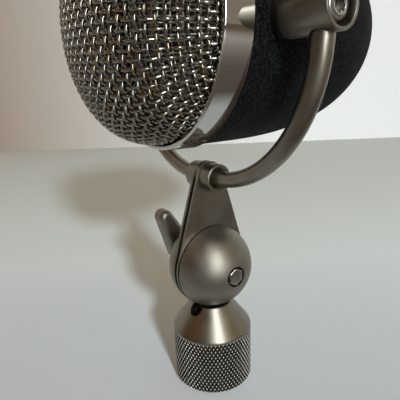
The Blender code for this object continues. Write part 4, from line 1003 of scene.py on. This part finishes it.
class MICROPHONE_OT_swivel(Operator):
    """Two teardrop plates, the two halves of the ball and the clamp bolt"""
    bl_idname = "microphone.swivel"
    bl_label = "Swivel"

    def execute(self, context):
        s = context.scene.microphone.swivel
        centre = Vector((0, 0, s.ball_height))
        bore = s.bolt_radius + s.bolt_gap
        outline = teardrop(s.ball_radius, s.eye_radius, s.link_length)
        for side, sign in SIDES.items():
            node = "link_cheek_" + side
            thickness = high(node).x - low(node).x
            spot = centre + Vector((middle(node).x, 0, 0))
            cheek = plate(node + "_plate", outline, thickness, sideways(-1, spot))
            for radius, height in ((s.rod_hole, s.link_length), (bore, 0.0)):
                hole = sideways(-1, spot + Vector((0, 0, height)))
                drilled(cheek, radius, -2 * thickness, 2 * thickness, hole, steps=48)
            step = thickness / 2 - s.seam
            drilled(cheek, s.ball_radius + s.seam / 4, step, thickness, sideways(sign, spot), steps=192)
            dressed(shaded(bevelled(cheek, s.edge)), "yoke_link", "satin_nickel", node)

        base = low("ball_cap_right").x
        head_top = high("swivel_bolt").x
        head_seat = head_top - s.head_height
        for side, sign in SIDES.items():
            node = "ball_cap_" + side
            top = high(node).x if sign > 0 else -low(node).x
            start = math.asin(min(1.0, top / s.ball_radius))
            end = math.asin(base / s.ball_radius)
            profile = [(bore, top)] + arc((0, 0), s.ball_radius, start, end, steps=48)
            rim = profile.pop()
            profile += arc((rim[0] - s.edge, rim[1] + s.edge), s.edge, 0.0, -QUARTER, steps=4)
            profile += [(bore, base)]
            cap = turned(node + "_half", profile, sideways(sign, centre), closed=True, steps=128)
            if sign > 0:
                deep = head_seat + 2 * s.head_height
                drilled(cap, s.head_recess, head_seat, deep, sideways(1, centre), steps=64)
            dressed(shaded(cap), "yoke_link", "satin_nickel", node, look="blasted_nickel")

        spot = centre + Vector((head_top - s.head_height / 2, 0, 0))
        head = plate("bolt_head", hexagon(s.head_flats), s.head_height, sideways(1, spot))
        bevelled(head, 2 * s.edge)
        end = low("swivel_bolt").x
        shaft = lathed("bolt_shaft", [
            (0.0, end, 0.0),
            (s.bolt_radius, end, 2 * s.edge),
            (s.bolt_radius, head_seat + s.edge, 0.0),
            (0.0, head_seat + s.edge, 0.0),
        ], sideways(1, centre), steps=40)
        bolt = shaded(joined("clamp_bolt", head, shaft), sharp=30)
        dressed(bolt, "yoke_link", "polished_steel", "swivel_bolt")
        return {"FINISHED"}


class MICROPHONE_OT_clamp_lever(Operator):
    """Clamp lever on the bolt's end"""
    bl_idname = "microphone.clamp_lever"
    bl_label = "Clamp lever"

    def execute(self, context):
        s = context.scene.microphone.swivel
        outer = low("clamp_lever").x
        inner = outer + s.lever_depth
        seat = high("clamp_lever").x
        centre = Vector((0, 0, s.ball_height))
        outline = teardrop(s.lever_hub, s.lever_tip, s.lever_reach - s.lever_tip)
        place = Matrix.Translation(centre + Vector(((outer + inner) / 2, 0, 0)))
        place = place @ Matrix.Rotation(s.lever_lean, 4, "X") @ sideways(-1)
        blade = bevelled(plate("lever_blade", outline, s.lever_depth, place), s.lever_edge, segments=5)
        bore = s.bolt_radius + s.bolt_gap
        root = 0.1 * s.lever_edge - inner   # the neck ends a little inside the blade
        neck = lathed("lever_neck", [
            (bore, -seat, 0.0),
            (s.lever_neck, -seat, s.edge),
            (s.lever_neck, -inner - s.lever_edge, 0.0),
            (s.lever_neck + s.lever_edge, root, 0.0),
            (bore, root, 0.0),
        ], sideways(-1, centre), closed=True, steps=64)
        lever = shaded(joined("lever", blade, neck))
        dressed(lever, "lever", "satin_nickel", "clamp_lever", look="blasted_nickel")
        return {"FINISHED"}


class MICROPHONE_OT_yoke(Operator):
    """Bow of round rod with its two collars and its two bosses"""
    bl_idname = "microphone.yoke"
    bl_label = "Yoke"

    def execute(self, context):
        s = context.scene.microphone.yoke
        outer = high("yoke_boss_right").x
        inner = low("yoke_boss_right").x
        arm = outer - s.arm_inset
        rise = s.pivot_height - s.bow_height
        neck = rise - s.boss_radius - 2 * s.rod_neck
        right = arc((s.rod_flat, s.rod_bend), s.rod_bend, -QUARTER, 0.0, steps=72)
        right.append((arm, neck))
        widths = [s.rod_low + (s.rod_top - s.rod_low) * z / rise for _, z in right]
        # The neck's rounding, by shares of its depth inwards and upwards
        for share_in, share_up in ((0.12, 0.5), (0.5, 0.87), (1.0, 1.0)):
            right.append((arm, neck + share_up * s.rod_neck))
            widths.append(s.rod_top - share_in * s.rod_neck)
        right.append((arm, high("yoke_rod").z - s.bow_height))
        widths.append(s.rod_top - s.rod_neck)
        path = [(-x, z) for x, z in reversed(right)] + [(0.0, 0.0)] + right
        radii = widths[::-1] + [s.rod_low] + widths
        rod = bar("yoke_bow", [(x, z + s.bow_height) for x, z in path], radii, sides=48)
        dressed(shaded(rod), "yoke_link", "satin_nickel", "yoke_rod")

        near = low("yoke_collar_right").x
        far = high("yoke_collar_right").x
        bow = Vector((0, 0, s.bow_height))
        pivot = Vector((0, 0, s.pivot_height))
        recess = s.boss_radius - s.boss_rim
        recess_floor = outer - s.recess_depth
        rim_inside = 0.25 * s.boss_rim
        rim_outside = 0.3 * s.boss_rim
        collar_edge = 1.1 * s.collar_chamfer
        for side, sign in SIDES.items():
            collar = lathed("collar_" + side, [
                (s.rod_low, far - 3 * s.collar_chamfer, 0.0),
                (s.collar_radius - 2 * s.collar_chamfer, far, s.collar_chamfer / 2),
                (s.collar_radius, far, collar_edge),
                (s.collar_radius, near, s.edge),
                (s.rod_low, near, 0.0),
            ], sideways(sign, bow), closed=True)
            dressed(shaded(collar), "yoke_link", "satin_nickel", "yoke_collar_" + side)
            boss = lathed("boss_" + side, [
                (recess, outer, rim_inside),
                (s.boss_radius, outer, rim_outside),
                (s.boss_radius, inner + s.boss_chamfer, s.edge),
                (s.boss_radius - s.boss_chamfer, inner, s.edge),
                (s.pivot_radius, inner, 0.0),
                (s.pivot_radius, recess_floor, 0.0),
                (recess, recess_floor, 0.0),
            ], sideways(sign, pivot), closed=True)
            dressed(shaded(boss), "yoke_link", "satin_nickel", "yoke_boss_" + side)
        return {"FINISHED"}


class MICROPHONE_OT_pivots(Operator):
    """Socket-head pivot screws and their washers"""
    bl_idname = "microphone.pivots"
    bl_label = "Pivots"

    def execute(self, context):
        s = context.scene.microphone.yoke
        pivot = Vector((0, 0, s.pivot_height))
        top = high("pivot_screw_right").x
        seat = top - s.head_height
        tip = low("pivot_screw_right").x
        crown = 8 * s.edge
        key_floor = top - 3 * s.edge
        for side, sign in SIDES.items():
            place = sideways(sign, pivot)
            screw = lathed("pivot_bolt_" + side, [
                (0.0, tip, 0.0),
                (s.pivot_radius, tip, 2 * s.edge),
                (s.pivot_radius, seat, 0.0),
                (s.head_radius, seat, s.edge),
                (s.head_radius, top - 2 * s.edge, crown),
                (0.7 * s.key_flats, top, s.edge),
                (0.6 * s.key_flats, top, s.edge),
                (0.5 * s.key_flats, key_floor, 0.0),
                (0.0, key_floor, 0.0),
            ], place, steps=80, ease=8)
            spot = pivot + Vector((sign * top, 0, 0))
            cut(screw, plate("key", hexagon(s.key_flats), 2 * s.key_depth, sideways(sign, spot)))
            dressed(shaded(screw, sharp=32), "microphone", "polished_steel", "pivot_screw_" + side)
            node = "pivot_washer_" + side
            near, far = sorted((abs(low(node).x), abs(high(node).x)))
            radius = high(node).y
            washer = lathed("washer_" + side, [
                (s.pivot_radius, far, 0.0),
                (radius, far, s.edge),
                (radius, near, s.edge),
                (s.pivot_radius, near, 0.0),
            ], place, closed=True, steps=80)
            dressed(shaded(washer), "microphone", "black_nylon", node)
        return {"FINISHED"}


class MICROPHONE_OT_body(Operator):
    """Black coated shell with its rounded rear end"""
    bl_idname = "microphone.body"
    bl_label = "Body"

    def execute(self, context):
        s = context.scene.microphone.body
        pivot = Vector((0, 0, context.scene.microphone.yoke.pivot_height))
        end = rounded_end(s.radius, s.end_length, s.end_along, s.end_across, s.face_radius, steps=72)
        outside = [(across, -s.straight - along) for across, along in end]
        face = outside[-1][1]
        bore = s.socket_radius + s.socket_wall
        mouth = s.radius - s.wall
        half_edge = s.face_edge / 2
        profile = [(s.spigot_radius, s.spigot_front), (s.spigot_radius, s.ring_rear)]
        profile += [(s.radius - half_edge, s.ring_rear), (s.radius, s.ring_rear - half_edge)]
        profile += outside[:-1]
        rim_share = 0.2   # of the last step, which the rear face's rounded edge takes
        profile += [Vector(outside[-1]).lerp(Vector(outside[-2]), rim_share)]
        profile += [(s.face_radius - s.face_edge, face), (bore, face), (bore, face + s.rear_wall)]
        # The hollow, from the rear to the mouth, by shares of the mouth's radius and of the face's depth
        rear_share = 0.42
        profile += [(rear_share * mouth, face + s.rear_wall)]
        profile += [(out * mouth, back * face) for out, back in ((0.8, 0.62), (0.97, 0.3))]
        profile += [(mouth, -s.wall), (mouth, s.spigot_front)]
        place = forward((0, 0, s.axis_height))
        shell = turned("body_casting", profile, place, closed=True, steps=160)
        seat = abs(low("pivot_washer_right").x) - s.seat_gap
        for sign in SIDES.values():
            drilled(shell, s.seat_radius, seat, s.radius + s.wall, sideways(sign, pivot), steps=64)
        dressed(shaded(shell), "microphone", "black_coat", "body_shell")
        return {"FINISHED"}


class MICROPHONE_OT_ring(Operator):
    """Polished ring that widens a little to the rear, with a bead behind"""
    bl_idname = "microphone.ring"
    bl_label = "Ring"

    def execute(self, context):
        s = context.scene.microphone.body
        rear = s.ring_rear
        front_radius = s.radius + s.ring_flare - s.ring_swell
        inner = s.radius + s.ring_flare - s.ring_wall
        bead = s.bead_width / 2
        bead_radius = s.radius + s.bead_rise
        lip = s.ring_wall / 3
        start = s.ring_front - lip
        foot = rear + s.bead_width + bead
        profile = [(inner, s.ring_front - lip / 2), (inner + lip / 2, s.ring_front)]
        profile += arc((front_radius - lip, start), lip, QUARTER, 0.0, steps=8)
        steps = 12
        for step in range(1, steps + 1):
            along = step / steps
            profile.append((front_radius + s.ring_swell * along, start + (foot - start) * along))
        profile += arc((bead_radius - bead, rear + bead), bead, math.pi / 3, -QUARTER, steps=10)
        profile += [(inner, rear)]
        ring = turned("chrome_ring", profile, forward((0, 0, s.axis_height)), closed=True, steps=192)
        dressed(shaded(ring, sharp=30), "microphone", "chrome", "grille_ring")
        return {"FINISHED"}


class MICROPHONE_OT_grille(Operator):
    """Woven wire dome and the finer gauze behind it"""
    bl_idname = "microphone.grille"
    bl_label = "Grille"

    def execute(self, context):
        s = context.scene.microphone.grille
        body = context.scene.microphone.body
        rule = weave_rule()
        right = Vector((math.cos(s.turn), math.sin(s.turn), 0))
        up = Vector((-math.sin(s.turn), math.cos(s.turn), 0))
        # Radius, depth, wire, crimp, sides of a wire, samples from crossing to crossing
        outer = (s.radius, s.depth, s.wire, s.crimp, 6, 6)
        inner = (s.gauze_radius, s.gauze_depth, s.gauze_wire, s.gauze_wire, 4, 3)
        # Pitch and shift of the upright and of the level wires
        coarse = ((s.upright_pitch, s.upright_shift), (s.level_pitch, s.level_shift))
        even = ((s.gauze_pitch, 0.0), (s.gauze_pitch, 0.0))
        layers = (
            ("grille", "bright_wire", "grille_dome", outer, coarse),
            ("gauze", "dark_gauze", "inner_screen", inner, even),
        )
        for layer, slot, node, (radius, depth, wire, crimp, sides, samples), (upright, level) in layers:
            reach = meridian_length(radius, depth, s.power, s.skirt)
            for kind, across, along, own, crossed, side in (
                ("upright", right, up, upright, level, 1.0), ("level", up, right, level, upright, -1.0),
            ):
                wires = rule.grown(f"{layer}_{kind}_wires", {
                    "Radius": radius,
                    "Depth": depth,
                    "Power": s.power,
                    "Skirt": s.skirt,
                    "Base": body.ring_front,
                    "Axis Height": body.axis_height,
                    "Wires": 2 * int(reach / own[0]) + 3,
                    "Samples": 2 * int(reach / crossed[0] * samples) + 1,
                    "Pitch": own[0],
                    "Crossing": crossed[0],
                    "Shift": own[1],
                    "Phase": crossed[1],
                    "Reach": reach,
                    "Crimp": side * crimp,
                    "Across": across,
                    "Along": along,
                    "Wire": wire,
                    "Sides": sides,
                    "Material": finish(slot),
                })
                dressed(wires, "microphone", slot, node)
        return {"FINISHED"}


class MICROPHONE_OT_socket(Operator):
    """Cable socket in the rear: sleeve, insulator and three contacts"""
    bl_idname = "microphone.socket"
    bl_label = "Cable socket"

    def execute(self, context):
        s = context.scene.microphone.body
        place = forward((0, 0, s.axis_height))
        face = -high("socket_sleeve").y
        end = -low("socket_sleeve").y
        outer = s.socket_radius + s.socket_wall
        throat = s.socket_radius - s.socket_wall / 2
        flange = high("socket_sleeve").x
        flange_rear = face + 1.04 * s.rear_wall
        edge = s.socket_wall / 5
        pin_tip = 0.9 * s.pin_radius
        sleeve = lathed("socket_shell", [
            (throat, end, 0.0),
            (flange, end, 0.0),
            (flange, flange_rear, 0.0),
            (outer, flange_rear, 0.0),
            (outer, face, edge),
            (s.socket_radius, face, 2 * edge),
            (s.socket_radius, end - s.socket_wall, 0.0),
            (throat, end - s.socket_wall, 0.0),
        ], place, closed=True)
        dressed(shaded(sleeve), "microphone", "satin_nickel", "socket_sleeve")

        near = -high("socket_insert").y
        far = -low("socket_insert").y
        insert = lathed("socket_insulator", [
            (0.0, far, 0.0),
            (s.socket_radius - edge, far, 0.0),
            (s.socket_radius - edge, near, edge),
            (0.0, near, 0.0),
        ], place)
        for index in (1, 2, 3):
            node = f"contact_pin_{index}"
            spot = forward((middle(node).x, 0, middle(node).z))
            drilled(insert, s.pin_radius + edge / 2, near - edge, far + edge, spot, steps=32)
            tip = -high(node).y
            tail = -low(node).y
            pin = lathed(f"contact_{index}", [
                (0.0, tail, 0.0),
                (s.pin_radius, tail, edge),
                (s.pin_radius, tip, pin_tip),
                (0.0, tip, 0.0),
            ], spot, steps=40, ease=8)
            dressed(shaded(pin, sharp=60), "microphone", "gold_plate", node)
        dressed(shaded(insert), "microphone", "black_nylon", "socket_insert")
        return {"FINISHED"}


class MICROPHONE_OT_inside(Operator):
    """Finishes of the pieces inside, which keep their CAD shapes"""
    bl_idname = "microphone.inside"
    bl_label = "Inside"

    def execute(self, context):
        finishes = {
            "link_spacer": "satin_nickel", "swivel_tongue": "satin_nickel", "bulkhead_screw": "black_steel",
            "bulkhead": "aluminium", "motor_frame": "plain_steel", "motor_screw": "black_steel",
            "magnet": "sintered_magnet", "pole_piece": "plain_steel", "ribbon_clamp": "brass",
            "ribbon": "foil", "output_transformer": "plain_steel", "circuit_board": "board",
            "board_pillar": "brass", "board_screw": "black_steel",
        }
        for name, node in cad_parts.items():
            if node.hide_render:
                continue
            slot = finishes[max((key for key in finishes if name.startswith(key)), key=len)]
            for place in node.material_slots:
                place.material = finish(slot)
        return {"FINISHED"}


class MICROPHONE_OT_stage(Operator):
    """Camera, pale floor and wall, the room's light and three soft lamps"""
    bl_idname = "microphone.stage"
    bl_label = "Stage"

    def execute(self, context):
        s = context.scene.microphone.stage
        right = Vector(s.camera_right).normalized()
        up = Vector(s.camera_up).normalized()
        back = right.cross(up).normalized()
        camera = new_object("camera", bpy.data.cameras.new("camera"))
        turn = Matrix((right, up, back)).transposed().to_4x4()
        camera.matrix_world = Matrix.Translation(s.camera_place) @ turn
        camera.data.sensor_width = SENSOR_WIDTH
        camera.data.lens = s.lens
        camera.data.clip_start = 5.0 * MM
        context.scene.camera = camera

        away = Vector((-back.x, -back.y, 0)).normalized()
        across = Vector((-away.y, away.x, 0))
        foot = Vector((0, 0, -s.floor_drop))
        wall_foot = foot + away * s.wall_distance
        wall_top = wall_foot + Vector((0, 0, s.wall_height))
        self.sheet("floor", foot - away * s.reach, wall_foot, across * s.reach, s, away)
        self.sheet("wall", wall_foot, wall_top, across * s.reach, s, -across)
        self.room(context, s)
        day = (s.key_light, s.key_power)
        warm = (s.fill_light, s.fill_power)
        # The window casts the shadows, and the tall key lamp is what the metal mirrors
        window = self.lamp("window", *day, heading=(0.892, -0.256, 0.375), distance=1.0, sizes=(0.09, 0.09))
        window.visible_glossy = False
        key = self.lamp("key", *day, heading=(0.878, -0.252, 0.407), distance=1.0, sizes=(0.34, 0.95))
        key.visible_diffuse = False
        self.lamp("fill", *warm, heading=(-0.4, -0.58, 0.68), distance=0.6, sizes=(0.14, 0.14))
        context.scene.view_settings.view_transform = "Standard"
        return {"FINISHED"}

    def sheet(self, name, start, end, side, s, heading):
        """A pale sheet, which looks a little brighter than the lamps light it."""
        mesh = bpy.data.meshes.new(name)
        mesh.from_pydata([start - side, start + side, end + side, end - side], [], [range(4)])
        material = bpy.data.materials.new(name + "_paper")
        material.use_nodes = True
        tree = material.node_tree
        shader = tree.nodes["Principled BSDF"]
        shader.inputs["Roughness"].default_value = PAPER_ROUGHNESS
        shader.inputs["Specular IOR Level"].default_value = PAPER_SHINE
        tint = self.floor_tint if name == "floor" else self.wall_tint
        colour = tint(tree, s, heading)
        tree.links.new(colour, shader.inputs["Base Color"])
        glow = (*getattr(s, name + "_glow"), 1.0)
        tree.links.new(blend(tree, 1.0, colour, glow, blend_type="MULTIPLY"), shader.inputs["Emission Color"])
        path = add_node(tree, "ShaderNodeLightPath").outputs
        mirrored = larger(tree, path["Is Glossy Ray"], path["Is Transmission Ray"])
        seen = larger(tree, path["Is Camera Ray"], mirrored)
        tree.links.new(seen, shader.inputs["Emission Strength"])
        mesh.materials.append(material)
        return new_object(name, mesh)

    def floor_tint(self, tree, s, away):
        """Pale paper with painted shade: greyer at the front of the picture, and darkening softly to the
        right and to the front, outside the picture.
        """
        place = own_place(tree)
        depth = dot(tree, place, away)
        paper = shades(tree, ranged(tree, depth, start=-0.03, end=0.10), (0.0, s.floor_near), (1.0, s.floor))
        # Painted shade to the right and to the front, darkest near the microphone
        to_right = (0.96, -0.276, 0)
        beside = ranged(tree, dot(tree, place, to_right), start=0.036, end=0.068)
        before = ranged(tree, depth, start=-0.10, end=-0.045, lowest=1.0, highest=0.0)
        distance = ranged(tree, reach_of(tree, place), start=0.2, end=0.6)
        dim = shades(tree, distance, (0.0, s.floor_painted_shade), (1.0, s.floor_painted_shade_far))
        return blend(tree, larger(tree, beside, before), paper, dim)

    def wall_tint(self, tree, s, heading):
        """Pale wall with a shaded stretch at the left."""
        along = ranged(tree, dot(tree, own_place(tree), heading), start=-1.1, end=0.2)
        shade_starts, shade_middle = 0.3, 0.52
        stops = ((shade_starts, s.wall_left), (shade_middle, s.wall_shade), (1.0, s.wall))
        return shades(tree, along, *stops)

    def room(self, context, s):
        """Light of the room, dim and warm, but bright to the right."""
        world = bpy.data.worlds.new("room")
        context.scene.world = world
        world.use_nodes = True
        tree = world.node_tree
        heading = add_node(tree, "ShaderNodeTexCoord").outputs["Generated"]
        colour = (*s.room_dark, 1.0)
        # Direction of each patch, the cosines at its edge and where it is full, and its colour
        for middle_of_patch, edge, full, tint in (
            ((0.94, 0.30, 0.15), 0.35, 0.95, s.room_tan),
            ((0.35, 0.93, 0.12), 0.89, 0.96, s.room_white),
            ((-0.20, -0.60, 0.775), 0.78, 0.97, s.room_warm),
            ((0.64, 0.41, 0.64), 0.88, 0.97, s.room_sand),
        ):
            patch = ranged(tree, dot(tree, heading, middle_of_patch), edge, full)
            colour = blend(tree, patch, colour, (*tint, 1.0))
        tree.links.new(colour, tree.nodes["Background"].inputs["Color"])

    def lamp(self, name, colour, power, heading, distance, sizes):
        """A soft rectangular lamp at a distance in a direction, facing the microphone."""
        data = bpy.data.lights.new(name, "AREA")
        data.shape = "RECTANGLE"
        data.size, data.size_y = sizes
        data.color = colour
        data.energy = power
        lamp = new_object(name, data)
        heading = Vector(heading)
        aim = Vector((0, 0, bpy.context.scene.microphone.stage.aim_height))
        lamp.location = aim + heading.normalized() * distance
        lamp.rotation_euler = heading.to_track_quat("Z", "Y").to_euler()
        return lamp


class MICROPHONE_PT_panel(Panel):
    """Steps that build the microphone"""
    bl_idname = "MICROPHONE_PT_panel"
    bl_label = "Ribbon microphone"
    bl_space_type = "VIEW_3D"
    bl_region_type = "UI"
    bl_category = "Microphone"

    def draw(self, context):
        for step in STEPS:
            self.layout.operator(step.bl_idname)
        settings = context.scene.microphone
        for group in ("adaptor", "swivel", "yoke", "body", "grille", "finishes", "stage"):
            box = self.layout.box()
            box.label(text=group.capitalize())
            sizes = getattr(settings, group)
            for name in sizes.__annotations__:
                box.prop(sizes, name)


STEPS = (
    MICROPHONE_OT_stage,
    MICROPHONE_OT_stand_adaptor,
    MICROPHONE_OT_swivel,
    MICROPHONE_OT_clamp_lever,
    MICROPHONE_OT_yoke,
    MICROPHONE_OT_pivots,
    MICROPHONE_OT_body,
    MICROPHONE_OT_ring,
    MICROPHONE_OT_grille,
    MICROPHONE_OT_socket,
    MICROPHONE_OT_inside,
)
GROUPS = (
    AdaptorSizes, SwivelSizes, YokeSizes, BodySizes, GrilleSizes, Finishes, StageSettings, MicrophoneSettings,
)


def register():
    """Register the settings, the steps and the panel."""
    for item in (*GROUPS, *STEPS, MICROPHONE_PT_panel):
        bpy.utils.register_class(item)
    bpy.types.Scene.microphone = PointerProperty(
        type=MicrophoneSettings, name="Microphone", description="Sizes, colours and stage of the microphone"
    )


def unregister():
    """Take the settings, the steps and the panel away."""
    del bpy.types.Scene.microphone
    for item in reversed((*GROUPS, *STEPS, MICROPHONE_PT_panel)):
        bpy.utils.unregister_class(item)


def main():
    """Build every piece in order."""
    register()
    bpy.ops.microphone.stage()
    bpy.ops.microphone.stand_adaptor()
    bpy.ops.microphone.swivel()
    bpy.ops.microphone.clamp_lever()
    bpy.ops.microphone.yoke()
    bpy.ops.microphone.pivots()
    bpy.ops.microphone.body()
    bpy.ops.microphone.ring()
    bpy.ops.microphone.grille()
    bpy.ops.microphone.socket()
    bpy.ops.microphone.inside()
    bpy.context.view_layer.update()


if __name__ == "__main__":
    main()
